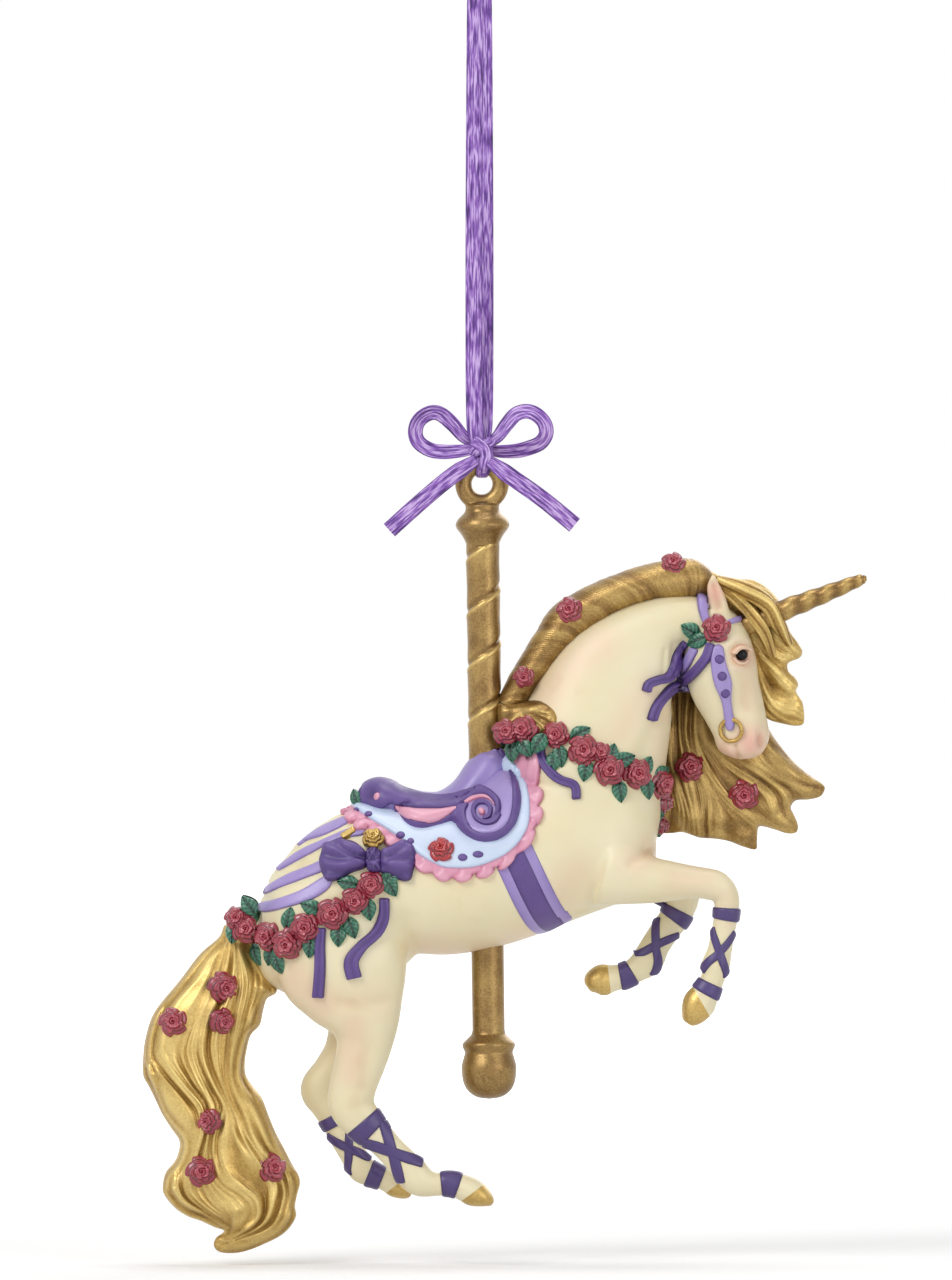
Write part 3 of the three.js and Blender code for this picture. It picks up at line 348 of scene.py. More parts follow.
class Wrap:
    """Map rolled round the trunk: x, and the distance round from the spine, negative on the near side."""

    RADIUS = 12.0
    STEPS = 24
    LOWEST = 0.9 * math.pi

    def __init__(self, carrier, axis):
        self.carrier = carrier
        self.axis = axis

    def hit(self, x, angle):
        """Where the trunk's skin is at a place along it and an angle round it."""
        way = (0.0, math.sin(angle), math.cos(angle))
        middle = np.array([x, 0.0, np.interp(x, *self.axis)])
        return self.carrier.towards(middle + np.array(way) * OUTSIDE, [-w for w in way])

    def lay(self, spots):
        """Points and outward directions for map places."""
        found = [self.hit(x, v / self.RADIUS) for x, v in spots]
        return np.array([f[0] for f in found]), np.array([f[1] for f in found])

    def unroll(self, spots, side):
        """Side-view places as map places. A place above the spine goes to the spine."""
        made = []
        for x, z in spots:
            low, high = 0.0, self.LOWEST
            for _ in range(self.STEPS):
                middle = (low + high) / 2
                if self.hit(x, side * middle)[0][2] > z:
                    low = middle
                else:
                    high = middle
            made.append((x, side * low * self.RADIUS))
        return np.array(made)


# Raised trimmings
RIM_STEPS = (0.15, 0.45, 1.0)    # where points lie across a rounded rim
RIM_SPACING = 0.8                # how near to the edge such a point may come, in its own step
FIELD_START = 1.25               # where the even field of points begins, in rim widths
TINY = 1e-12
MERGE = 1e-6
ON_RIM = 1e-4
# Relief values of trimmings: painted shade at the foot of a rim and in carved hollows, a painted highlight up
# on the crown.
EDGE_SHADE = 0.15                # relief value at the foot of a rim
CROWN_SHADE = 0.5                # what it gains up to the crown
CARVE_SHADE = 0.6                # what carving adds to it
CARVE_LEVEL = 0.9
BAND_CROWN = 2.2                 # how soon a band reaches its full height
BAND_GROOVE = 0.3                # width share of the groove down a band's middle
END_ROUND = 0.25
END_LEAST = 0.2
DISC_POINTS = 20
DISC_RIM = 0.8
DISC_PITCH = 0.25
LYING = 0.2                      # a direction this close to upright has no top of its own


def inside(spots, outline):
    """Which spots lie inside a closed outline."""
    x, y = spots[:, 0:1], spots[:, 1:2]
    x1, y1 = outline.T
    x2, y2 = np.roll(outline, -1, axis=0).T
    crossing = (y1 > y) != (y2 > y)
    slope = np.where(np.abs(y2 - y1) < TINY, TINY, y2 - y1)
    return (crossing & (x < x1 + (y - y1) * (x2 - x1) / slope)).sum(1) % 2 == 1


def rim_distance(spots, outline):
    """Distance from each spot to a closed outline, and which of its points is nearest."""
    start = outline
    run = np.roll(outline, -1, axis=0) - start
    offset = spots[:, None] - start[None]
    share = np.clip((offset * run).sum(-1) / np.maximum((run * run).sum(-1), TINY), 0, 1)
    distance = np.linalg.norm(offset - share[..., None] * run, axis=-1)
    return distance.min(1), distance.argmin(1)


def rounded(share):
    """A quarter-round rim, 0 at the edge and 1 from one rim width in."""
    return np.sqrt(np.clip(1 - (1 - np.clip(share, 0, 1)) ** 2, 0, 1))


def filled(outline, rim, pitch):
    """Triangles inside a closed outline, finer near its rim: flat points and faces."""
    low, high = outline.min(0), outline.max(0)
    across = np.arange(low[0], high[0] + pitch, pitch)
    level = np.arange(low[1], high[1] + pitch, pitch)
    lattice = np.stack(np.meshgrid(across, level), axis=-1)
    lattice[::2, :, 0] += pitch / 2
    lattice = lattice.reshape(-1, 2)
    ahead, back = np.roll(outline, -1, axis=0), np.roll(outline, 1, axis=0)
    way = unit(ahead - back)
    turned = np.sum(outline[:, 0] * ahead[:, 1] - ahead[:, 0] * outline[:, 1]) > 0
    inward = np.stack([-way[:, 1], way[:, 0]], axis=1) * (1 if turned else -1)
    near_rim = [outline + inward * rim * share for share in RIM_STEPS]
    spots = np.vstack(near_rim + [lattice])
    distance, _ = rim_distance(spots, outline)
    wanted = [np.full(len(outline), rim * share * RIM_SPACING) for share in RIM_STEPS]
    wanted = np.concatenate(wanted + [np.full(len(lattice), rim * FIELD_START)])
    kept = spots[inside(spots, outline) & (distance > wanted)]
    flat = np.vstack([outline, kept])
    edges = [(i, (i + 1) % len(outline)) for i in range(len(outline))]
    made = delaunay_2d_cdt([Vector(s) for s in flat], edges, [], 1, MERGE)
    return np.array([list(s) for s in made[0]]), [list(f) for f in made[2]]


def faced(points, faces, normals):
    """Turns all faces over when they look against the outward directions."""
    three = np.array([f[:3] for f in faces])
    a, b, c = (points[three[:, i]] for i in range(3))
    agree = (np.cross(b - a, c - a) * normals[three[:, 0]]).sum()
    return faces if agree > 0 else [f[::-1] for f in faces]


def patch(outline, surface, thickness, rim=0.4, lift=0.0, pitch=0.5, carve=None):
    """Raised patch with a rounded rim: points, faces and relief. carve changes its height by place."""
    outline = np.asarray(outline, float)
    spots, faces = filled(outline, rim, pitch)
    distance, nearest = rim_distance(spots, outline)
    crown = rounded(distance / rim)
    share = carve(spots, distance, nearest) if carve else np.ones(len(spots))
    rise = np.where(distance < ON_RIM, -SINK, lift + thickness * crown * share)
    points, normals = surface.lay(spots)
    points = points + normals * rise[:, None]
    # Painted shade at the rim's foot and in carved hollows, a painted highlight on the crown.
    relief = EDGE_SHADE + CROWN_SHADE * crown + CARVE_SHADE * (share - CARVE_LEVEL)
    return points, faced(points, faces, normals), np.clip(relief, 0, 1)


def smooth_patch(outline, count, surface, thickness, rim, **sizes):
    """Raised patch whose outline runs smoothly through the given places."""
    return patch(smooth_line(outline, count, closed=True), surface, thickness, rim, **sizes)


def band(path, widths, surface, height, lift=0.0, rows=60, columns=11, groove=0.0, corner=0.3):
    """Strip with soft edges along a path on a surface: points, faces and relief."""
    run = smooth_line(path, rows)
    widths = np.broadcast_to(np.asarray(widths, float), max(np.size(widths), 2))
    width = smooth_line(widths.reshape(-1, 1), rows)[:, 0]
    along = unit(np.gradient(run, axis=0))
    beside = np.stack([-along[:, 1], along[:, 0]], axis=1)
    length = lengths(run)
    end = np.minimum(length, length[-1] - length)
    width = width - 2 * corner * (1 - rounded(end / corner))
    share = np.sin(np.linspace(-math.pi / 2, math.pi / 2, columns))
    spots = run[:, None] + beside[:, None] * (share[None, :, None] * width[:, None, None] / 2)
    crown = rounded((1 - np.abs(share)) * BAND_CROWN)
    crown = crown * (1 - groove * bell(share, BAND_GROOVE))
    rise = lift + height * crown[None, :] * np.maximum(rounded(end / END_ROUND), END_LEAST)[:, None]
    rise[:, [0, -1]] = -SINK
    rise[[0, -1], :] = -SINK
    points, normals = surface.lay(spots.reshape(-1, 2))
    points = points + normals * rise.reshape(-1, 1)
    # Painted shade at the band's edges and in its groove, a painted highlight on its crown.
    relief = np.broadcast_to(EDGE_SHADE + crown * CROWN_SHADE, (rows, columns))
    return points, faced(points, grid_faces(rows, columns, False), normals), relief


def disc(place, radius, surface, height, lift=0.0):
    """Small domed dot on a surface."""
    angle = full_turn(DISC_POINTS)
    radii = np.broadcast_to(radius, 2)
    outline = np.array(place) + np.stack([radii[0] * np.cos(angle), radii[1] * np.sin(angle)], axis=1)
    return patch(outline, surface, height, rim=min(radii) * DISC_RIM, lift=lift, pitch=DISC_PITCH)


def standing(points, place, normal, spin=0.0):
    """Puts a shape made round +Z on a place, facing along the normal, turned by spin from upright."""
    out = np.asarray(normal, float) / np.linalg.norm(normal)
    upright = np.array([0.0, 0.0, 1.0]) - out * out[2]
    if np.linalg.norm(upright) < LYING:
        upright = np.array([1.0, 0.0, 0.0]) - out * out[0]
    upright = upright / np.linalg.norm(upright)
    side = np.cross(upright, out)
    right = side * math.cos(spin) + upright * math.sin(spin)
    top = upright * math.cos(spin) - side * math.sin(spin)
    return place + points[..., 0:1] * right + points[..., 1:2] * top + points[..., 2:3] * out


# Materials
def srgb(red, green, blue):
    """A screen colour as the renderer's own colour."""
    share = np.array([red, green, blue]) / 255
    linear = np.where(share <= 0.04045, share / 12.92, ((share + 0.055) / 1.055) ** 2.4)
    return (*linear.tolist(), 1.0)


def new_material(name):
    """A node material and its shader."""
    made = bpy.data.materials.new(name)
    made.use_nodes = True
    return made, made.node_tree.nodes["Principled BSDF"]


def math_node(tree, kind, first, second):
    """One sum or product in a material."""
    node = tree.nodes.new("ShaderNodeMath")
    node.operation = kind
    for socket, value in zip(node.inputs, (first, second)):
        if isinstance(value, (int, float)):
            socket.default_value = value
        else:
            tree.links.new(value, socket)
    return node.outputs[0]


def total(tree, first, *others):
    """Sum of values in a material."""
    for other in others:
        first = math_node(tree, "ADD", first, other)
    return first


def swing(tree, value, amount):
    """A value that swings about 0.5 as one that swings about 0 by an amount."""
    return math_node(tree, "MULTIPLY", math_node(tree, "SUBTRACT", value, 0.5), amount)


def set_up(shader, **values):
    """Sets the shader's own sockets. A socket's name is written with _ for a space."""
    for name, value in values.items():
        shader.inputs[name.replace("_", " ")].default_value = value


def noise(tree, scale, detail=3.0, coordinates=None):
    """Noise over the object, with the scale in cells to a metre."""
    node = tree.nodes.new("ShaderNodeTexNoise")
    node.inputs["Scale"].default_value = scale
    node.inputs["Detail"].default_value = detail
    if coordinates is None:
        coordinates = tree.nodes.new("ShaderNodeTexCoord").outputs["Object"]
    tree.links.new(coordinates, node.inputs["Vector"])
    return node.outputs["Fac"]


def ramp(tree, factor, stops):
    """Colour by a factor."""
    node = tree.nodes.new("ShaderNodeValToRGB")
    ends = node.color_ramp.elements
    while len(ends) < len(stops):
        ends.new(0.5)
    for element, (place, colour) in zip(ends, stops):
        element.position = place
        element.color = srgb(*colour)
    tree.links.new(factor, node.inputs["Fac"])
    return node.outputs["Color"]


def attribute(tree, name):
    """A value kept on the mesh's points."""
    node = tree.nodes.new("ShaderNodeAttribute")
    node.attribute_name = name
    return node.outputs["Fac"]


def bumps(tree, shader, height, strength, distance):
    """Fine surface height."""
    node = tree.nodes.new("ShaderNodeBump")
    node.inputs["Strength"].default_value = strength
    node.inputs["Distance"].default_value = distance
    tree.links.new(height, node.inputs["Height"])
    tree.links.new(node.outputs["Normal"], shader.inputs["Normal"])


# Noise is in cells to a metre, bump depths in metres, colours as the screen shows them
BROAD_CELLS = 260.0
FINE_CELLS = 3200.0
FINE_DETAIL = 4.0
SHINE_SWING = 0.25
HAIR_BUMP = 0.3
PAINT_BUMP = 0.00006
# Skin colour by relief: brown painted shade in the creases, up to a lighter painted highlight on raised
# carving.
CREAM_STOPS = [(0.0, (140, 96, 70)), (0.3, (214, 188, 148)), (0.48, (238, 226, 186)), (0.85, (244, 235, 206))]
# Pink for the paint on the head and for painted shade on the body.
BLUSH_AND_SHADE_PINK = (233, 172, 158)
BLACK_STOPS = [(0.2, (70, 44, 34)), (0.45, (24, 18, 20)), (1.0, (14, 12, 14))]
WEAVE_STOPS = [(0.26, (62, 32, 100)), (0.44, (108, 64, 152)), (0.58, (144, 96, 188)), (0.82, (212, 182, 236))]
FLECKS = (8.0, 0.9, 1.0)         # cells across the ribbon, and along it to each ribbon width
THREADS = (15.0, 0.35, 1.0)
YARN_DETAIL = 2.0
FLECK_SHARE = 1.5
WEAVE_LEVEL = 0.72
WEAVE_EDGE = 0.35


def painted(name, dark, base, light, roughness=0.36, metallic=0.0, mottle=0.3, grain=0.25, coat=0.15,
            bump=0.25):
    """Hand-painted colour: painted shade in the grooves, a painted highlight on the ridges, brush mottle, and
    a fine grain.
    """
    made, shader = new_material(name)
    tree = made.node_tree
    broad = noise(tree, BROAD_CELLS)
    fine = noise(tree, FINE_CELLS, FINE_DETAIL)
    # The relief value gives painted shade in the grooves and a painted highlight on the ridges.
    level = total(tree, attribute(tree, "relief"), swing(tree, broad, mottle), swing(tree, fine, grain))
    colour = ramp(tree, level, [(0.05, dark), (0.45, base), (1.0, light)])
    tree.links.new(colour, shader.inputs["Base Color"])
    shine = total(tree, swing(tree, broad, SHINE_SWING), roughness)
    tree.links.new(shine, shader.inputs["Roughness"])
    set_up(shader, Metallic=metallic, Coat_Weight=coat, Coat_Roughness=0.25)
    turns = math_node(tree, "MULTIPLY", attribute(tree, "comb"), 2 * math.pi)
    hairs = math_node(tree, "MULTIPLY", math_node(tree, "SINE", turns, 0.0), HAIR_BUMP)
    bumps(tree, shader, total(tree, fine, hairs), bump, PAINT_BUMP)
    return made


def cream_paint():
    """Cream cast skin with pink paint and pink painted shade, brown painted shade in the creases and a
    lighter painted highlight on raised carving.
    """
    made, shader = new_material("cream_resin")
    tree = made.node_tree
    broad = noise(tree, 120.0)
    fine = noise(tree, 2600.0, FINE_DETAIL)
    # Brown painted shade in the creases and a lighter painted highlight on raised carving, from the relief
    # value.
    cream = ramp(tree, total(tree, attribute(tree, "relief"), swing(tree, broad, 0.5)), CREAM_STOPS)
    mix = tree.nodes.new("ShaderNodeMix")
    mix.data_type = "RGBA"
    # Pink paint on the head and pink painted shade on the neck, body and legs.
    tree.links.new(attribute(tree, "blush_and_shade"), mix.inputs["Factor"])
    tree.links.new(cream, mix.inputs["A"])
    mix.inputs["B"].default_value = srgb(*BLUSH_AND_SHADE_PINK)
    tree.links.new(mix.outputs["Result"], shader.inputs["Base Color"])
    shine = total(tree, swing(tree, fine, 0.2), 0.42)
    tree.links.new(shine, shader.inputs["Roughness"])
    set_up(shader, Subsurface_Weight=0.12, Subsurface_Radius=(0.0012, 0.0007, 0.0004), Coat_Weight=0.12,
           Coat_Roughness=0.3)
    bumps(tree, shader, fine, strength=0.12, distance=0.00005)
    return made


def black_gloss():
    """Glossy painted eye with a brown rim."""
    made, shader = new_material("black_gloss")
    tree = made.node_tree
    fine = noise(tree, 1800.0)
    level = total(tree, attribute(tree, "relief"), math_node(tree, "MULTIPLY", fine, 0.15))
    tree.links.new(ramp(tree, level, BLACK_STOPS), shader.inputs["Base Color"])
    set_up(shader, Roughness=0.12, Specular_IOR_Level=0.2)
    bumps(tree, shader, fine, strength=0.03, distance=0.00003)
    return made


def woven_ribbon():
    """Woven ribbon: fine lengthwise yarns, light and dark flecks, and a soft sheen."""
    made, shader = new_material("satin_ribbon")
    tree = made.node_tree
    place = tree.nodes.new("ShaderNodeUVMap")
    place.uv_map = "weave"

    def yarn(cells):
        stretch = tree.nodes.new("ShaderNodeMapping")
        stretch.inputs["Scale"].default_value = cells
        tree.links.new(place.outputs["UV"], stretch.inputs["Vector"])
        return noise(tree, 1.0, YARN_DETAIL, stretch.outputs["Vector"])

    flecks, threads = yarn(FLECKS), yarn(THREADS)
    level = total(tree, math_node(tree, "MULTIPLY", flecks, FLECK_SHARE), threads)
    level = math_node(tree, "SUBTRACT", level, WEAVE_LEVEL)
    level = total(tree, level, swing(tree, attribute(tree, "relief"), WEAVE_EDGE))
    tree.links.new(ramp(tree, level, WEAVE_STOPS), shader.inputs["Base Color"])
    set_up(shader, Roughness=0.5, Sheen_Weight=0.25, Sheen_Roughness=0.4)
    bumps(tree, shader, threads, strength=0.6, distance=0.00012)
    return made


CREAM = cream_paint()
GILT = {"metallic": 0.65, "mottle": 0.4, "grain": 0.6, "coat": 0.1, "bump": 0.6}
POLE_GILT = {"metallic": 0.65, "mottle": 0.6, "grain": 0.5, "coat": 0.1, "bump": 0.5}
GOLD = painted("gold_paint", (88, 62, 30), (142, 110, 59), (206, 176, 107), 0.36, **GILT)
# The lighter gold; on the forelock it is a painted highlight.
BRIGHT_GOLD = painted("bright_gold_paint", (122, 90, 40), (180, 146, 78), (230, 204, 132), 0.38, **GILT)
POLE_GOLD = painted("pole_gold_paint", (76, 54, 26), (134, 104, 58), (206, 176, 108), 0.34, **POLE_GILT)
LILAC = painted("lilac_paint", (90, 72, 136), (146, 127, 191), (184, 166, 220), 0.34, mottle=0.25, grain=0.15)
PURPLE = painted("purple_paint", (44, 30, 76), (78, 56, 120), (120, 94, 164), 0.44, grain=0.2, coat=0.05)
LACE_PURPLE = painted("lace_purple_paint", (36, 26, 64), (64, 48, 102), (92, 74, 134), 0.4, coat=0.1)
PALE_BLUE = painted("pale_blue_paint", (140, 158, 208), (192, 212, 242), (226, 236, 250), 0.34, grain=0.12)
PINK = painted("pink_paint", (176, 92, 122), (218, 140, 168), (242, 190, 206), 0.34, grain=0.15)
PETAL = {"roughness": 0.22, "mottle": 0.25, "grain": 0.2, "coat": 0.6}
CRIMSON = painted("crimson_paint", (96, 18, 36), (162, 44, 64), (206, 98, 112), **PETAL)
SCARLET = painted("scarlet_paint", (104, 14, 20), (178, 30, 38), (216, 84, 82), **PETAL)
GREEN = painted("green_paint", (8, 46, 34), (26, 96, 72), (92, 158, 124), 0.3, coat=0.3)
BLACK = black_gloss()
RIBBON = woven_ribbon()


# Ribbon: the hanging length first, then the bow, the knot and the wrap round the eye
RIBBON_WIDTH = 2.7
RIBBON_THICKNESS = 0.35
EYE_MIDDLE = JOINTS["eye_rock"]["pos_m"][2] / MM - EYE[2]
WRAP_RADIUS = (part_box("ribbon_eye_loop")[1][2] - JOINTS["eye_rock"]["pos_m"][2]) / MM
WRAP_TOP = EYE_MIDDLE + WRAP_RADIUS
HANG_TOP = -EYE[2]
HOOK_RADIUS = 5.4
STRAND_END = JOINTS["ribbon_twist"]["pos_m"][2] / MM
STRAND_MIDDLE = -0.4
STRAND_SHIFT = 0.9
STRAND_TUCK = 1.6               # how far the strands go into the knot
SECTION_POINTS = 22
EDGE_POWER = 0.5                 # squareness of the section, across the ribbon and through it
FACE_POWER = 0.7
CUP = 0.12                       # how far the edges curl, in half widths
BACK_SHIFT = 1.3                 # where the back's yarns lie in the weave, beside the front's
EDGE_DARK = 0.25
CROSSWISE = np.array([1.0, 0.0, 0.0])


def ribbon(spots, width, thickness, turn, rows, gather=None):
    """Flat woven ribbon: rings, relief, and places in the weave. turn is the width direction by row."""
    line = smooth_line(spots, rows)
    along = unit(np.gradient(line, axis=0))
    face = unit(np.cross(along, turn))
    across = np.cross(face, along)
    angle = full_turn(SECTION_POINTS)
    side = np.sign(np.cos(angle)) * np.abs(np.cos(angle)) ** EDGE_POWER
    thick = np.sign(np.sin(angle)) * np.abs(np.sin(angle)) ** FACE_POWER
    share = np.linspace(0, 1, rows)
    wide = width / 2 * (gather(share) if gather else np.ones(rows))
    cup = CUP * wide[:, None] * (side[None] ** 2 - 0.5)
    rings = (line[:, None] + across[:, None] * (wide[:, None] * side)[..., None]
             + face[:, None] * (thick * thickness / 2 + cup)[..., None])
    length = lengths(line) / width
    yarn = side[None] / 2 + 0.5 + BACK_SHIFT * (thick[None] < 0)
    weave = np.stack(np.broadcast_arrays(yarn, length[:, None]), axis=-1)
    relief = 0.5 + EDGE_DARK * (1 - 2 * np.abs(side)[None] ** 4) * np.ones((rows, 1))
    return line, rings, relief, weave


def ribbon_piece(name, spots, turn, rows, replaces, body, gather=None, width=RIBBON_WIDTH):
    """A length of ribbon as a piece, and the line that it follows."""
    line, rings, relief, weave = ribbon(spots, width, RIBBON_THICKNESS, turn, rows, gather)
    heap = Heap().tube(rings, relief)
    uv = np.vstack([weave.reshape(-1, 2), weave[0].mean(0), weave[-1].mean(0)])
    return piece(name, heap, RIBBON, replaces, body, uv=uv), line


HANGER_ROWS = 200
HANGER_GATHER = (0.82, 0.06)     # least width share at the ends, and the share of the length that narrows
LOOP_GATHER = (0.5, 0.2)
TAIL_GATHER = (0.7, 1.5)         # width share at the knot, and how fast it opens
ARCH = HOOK_RADIUS + RIBBON_THICKNESS / 2
ARCH_SLANT = 0.71


def hanger_spots():
    """The hanging length: up the front strand, over the loop and down the back strand."""
    front = [(-0.45, -0.5, STRAND_END - STRAND_TUCK), (-0.9, -0.75, STRAND_END * 0.95),
             (-1.0, -2.2, STRAND_END * 0.68), (-0.9, -4.0, STRAND_END * 0.36),
             (-0.7, -ARCH, -HOOK_RADIUS), (-0.4, -ARCH * ARCH_SLANT, ARCH * ARCH_SLANT - HOOK_RADIUS)]
    front = [(STRAND_MIDDLE + shift * STRAND_SHIFT, y, z) for shift, y, z in front]
    back = [(2 * STRAND_MIDDLE - x, -y, z) for x, y, z in reversed(front)]
    whole = front + [(STRAND_MIDDLE, 0.0, RIBBON_THICKNESS / 2)] + back
    return [(x, y, z + HANG_TOP) for x, y, z in whole]


def gathered(least, reach):
    """Width share that falls to the least at both ends over a share of the length."""
    return lambda share: least + (1 - least) * np.sqrt(np.clip(np.minimum(share, 1 - share) / reach, 0, 1))


def opening(share):
    """Width share of a tail, which opens out of the knot."""
    return np.clip(TAIL_GATHER[0] + TAIL_GATHER[1] * share, 0, 1)


def add_hanger():
    """The doubled hanging length, with twist at its foot."""
    made, line = ribbon_piece("hanger_ribbon", hanger_spots(), CROSSWISE, HANGER_ROWS, ["ribbon_hanger"],
                              None, gathered(*HANGER_GATHER))
    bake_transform(made)
    return made, to_frame(line)


# Points from the top of the wrap: x, z
LOOPS = {
    "left": [
        (-0.9, 1.5), (-2.9, 2.65), (-4.7, 4.65), (-6.6, 6.25), (-8.3, 6.45), (-10.1, 5.25), (-10.7, 3.35),
        (-10.1, 1.65), (-8.2, 0.45), (-5.8, 0.15), (-2.9, 0.35), (-0.9, 0.7),
    ],
    "right": [
        (0.9, 1.4), (2.5, 2.6), (3.8, 4.35), (5.4, 6.15), (7.2, 6.65), (8.8, 6.05), (10, 4.65),
        (10.2, 3.05), (9.3, 1.65), (7.5, 0.85), (5.3, 0.35), (2.6, 0.3), (0.9, 0.6),
    ],
}
LOOP_OPEN = 1.8
LOOP_DEPTH = 0.5
TAIL_FRONT = -(WRAP_RADIUS + 0.3 + RIBBON_THICKNESS)
TAILS = {
    "left": [(-1, -1.15, 0), (-5.1, -3.95, -1), (-9.9, -7.95, -0.9), (-14.8, -12.35, -0.2)],
    "right": [(1.2, -1.35, 0), (5.1, -4.15, -1), (9.6, -7.35, -0.9), (14.8, -11.55, -0.2)],
}
TAIL_TURN = {"left": (-0.6, 0.0, 0.8), "right": (0.6, 0.0, 0.8)}
KNOT_WRAP = [
    (-1.25, -1.1, 1.9), (-0.5, -1.85, 1.5), (0.5, -2.1, 0.6), (0.75, -2.15, -0.6), (0.5, -2.25, -1.7),
    (0.35, -1.7, -2.6), (0.3, -0.6, -2.9),
]
KNOT_CROSS = [(1.5, -0.7, 2.1), (1.2, -1.6, 1.6), (0.2, -1.95, 1.2), (-0.9, -1.7, 0.4), (-1.5, -1.0, -0.4)]
KNOT_BACK = [(0.3, 0.2, 2.3), (0.2, 1.9, 1.2), (0.2, 2.15, -0.8), (0.2, 2.0, -2.2)]
KNOT_TURNS = ((KNOT_WRAP, 2.1), (KNOT_CROSS, 1.9), (KNOT_BACK, 2.2))      # path and width
KNOT_FACING = np.array([0.0, -1.0, 0.25])
KNOT_CORE = [(0.1, 2.3, 0.6, 0.8), (0.1, 1.6, 1.1, 1.2), (0.1, 0.5, 1.3, 1.5), (0.1, -0.3, 1.1, 1.4)]
CORE_GRID = (24, 28)
LOOP_ROWS = 90
TAIL_ROWS = 50
KNOT_ROWS = 40
WRAP_POINTS = 41
WRAP_ROWS = 64
WRAP_WIDTH = 1.9


def from_wrap(spots):
    """Points from the top of the wrap as points from the eye."""
    return [(x, y, z + WRAP_TOP) for x, y, z in spots]


def add_bow():
    """Two loops, two cut tails and the knot, all of the one ribbon."""
    made = []
    for side, spots in LOOPS.items():
        last = len(spots) - 1
        flat = smooth_line([(x, 0.0, z) for x, z in spots], LOOP_ROWS)
        along = unit(np.gradient(flat, axis=0))
        turn = np.stack([-along[:, 2] * LOOP_OPEN, np.ones(LOOP_ROWS), along[:, 0] * LOOP_OPEN], axis=1)
        depth = [LOOP_DEPTH * math.cos(math.pi * i / last) for i in range(last + 1)]
        line = from_wrap([(x, d, z) for (x, z), d in zip(spots, depth)])
        made.append(ribbon_piece(f"bow_ribbon_loop_{side}", line, turn, LOOP_ROWS, [f"bow_loop_{side}"],
                                 "bow", gathered(*LOOP_GATHER))[0])
    for side, spots in TAILS.items():
        line = from_wrap([(x, TAIL_FRONT + y, z) for x, z, y in spots])
        made.append(ribbon_piece(f"bow_ribbon_tail_{side}", line, np.array(TAIL_TURN[side]), TAIL_ROWS,
                                 [f"bow_tail_{side}"], "bow", opening)[0])
    heap = Heap()
    weaves = []
    for spots, width in KNOT_TURNS:
        line = np.array(from_wrap(spots))
        turn = np.cross(np.gradient(smooth_line(line, KNOT_ROWS), axis=0), KNOT_FACING)
        _, rings, relief, weave = ribbon(line, width, 2 * RIBBON_THICKNESS, turn, KNOT_ROWS)
        heap.tube(rings, relief)
        weaves += [weave.reshape(-1, 2), weave[0].mean(0)[None], weave[-1].mean(0)[None]]
    core, _ = loft([(x, z + WRAP_TOP, high, deep) for x, z, high, deep in KNOT_CORE], *CORE_GRID)
    heap.tube(core)
    weaves.append(np.zeros((math.prod(CORE_GRID) + 2, 2)))
    made.append(piece("bow_ribbon_knot", heap, RIBBON, ["bow_knot"], "bow",
                      uv=np.vstack(weaves)))
    return made


def add_eye_loop():
    """The ribbon's turn through the eye."""
    angle = np.linspace(0, 2 * math.pi, WRAP_POINTS)
    middle = WRAP_RADIUS - RIBBON_THICKNESS / 2
    level = EYE_MIDDLE + middle * np.cos(angle)
    spots = np.stack([np.zeros(WRAP_POINTS), middle * np.sin(angle), level], axis=1)
    ribbon_piece("eye_ribbon", spots, CROSSWISE, WRAP_ROWS, ["ribbon_eye_loop"], "eye_loop", width=WRAP_WIDTH)


add_camera()
hanger, hanger_path = add_hanger()
bow_pieces = add_bow()
add_eye_loop()

# Animal: stations of x, z, half height, half depth, y
TORSO = [
    (-36.2, -74.2, 3.4, 3), (-33.6, -73.9, 7.6, 7.5), (-29, -72.3, 10.6, 10.5), (-21, -67.2, 13.1, 11.5),
    (-17.8, -63.7, 12, 11.65), (-12, -63.8, 11.2, 11.85), (-5.4, -63.9, 11.4, 12.2),
    (2.4, -62.2, 11.5, 12), (11, -57.8, 12.6, 11.2), (19, -54, 13.3, 10), (24, -53, 11.4, 8.3),
    (27.2, -52.5, 7.2, 5.5), (28.6, -52.5, 2.4, 2),
]
NECK = [
    (15.9, -48.8, 12.8, 9.5), (18.3, -38.8, 12, 7.8), (21.2, -31.1, 10.4, 6.5), (25.3, -25.8, 8, 5.6),
    (28.8, -22.6, 5.2, 5), (33.2, -21.4, 3.8, 4.6), (35.7, -21.4, 3.2, 4),
]
HEAD = [
    (35.8, -20.5, 2.9, 3.5), (37.3, -23.7, 4.8, 4.8), (38, -28.2, 5.8, 5.4), (38.8, -32.2, 5.6, 4.9),
    (40.2, -35.8, 5, 4), (41.3, -39, 4.5, 3.6), (41.8, -41.3, 4.3, 3.7), (42.1, -42.9, 3.2, 3),
    (42.2, -44, 1.4, 1.4),
]
EAR = [
    (38.4, -21.5, 1.5, 1.3, 2.6), (37.7, -18.9, 1.5, 1.2, 3), (37, -16.6, 1.2, 1, 3.3),
    (36.9, -14.4, 0.3, 0.3, 3.4),
]
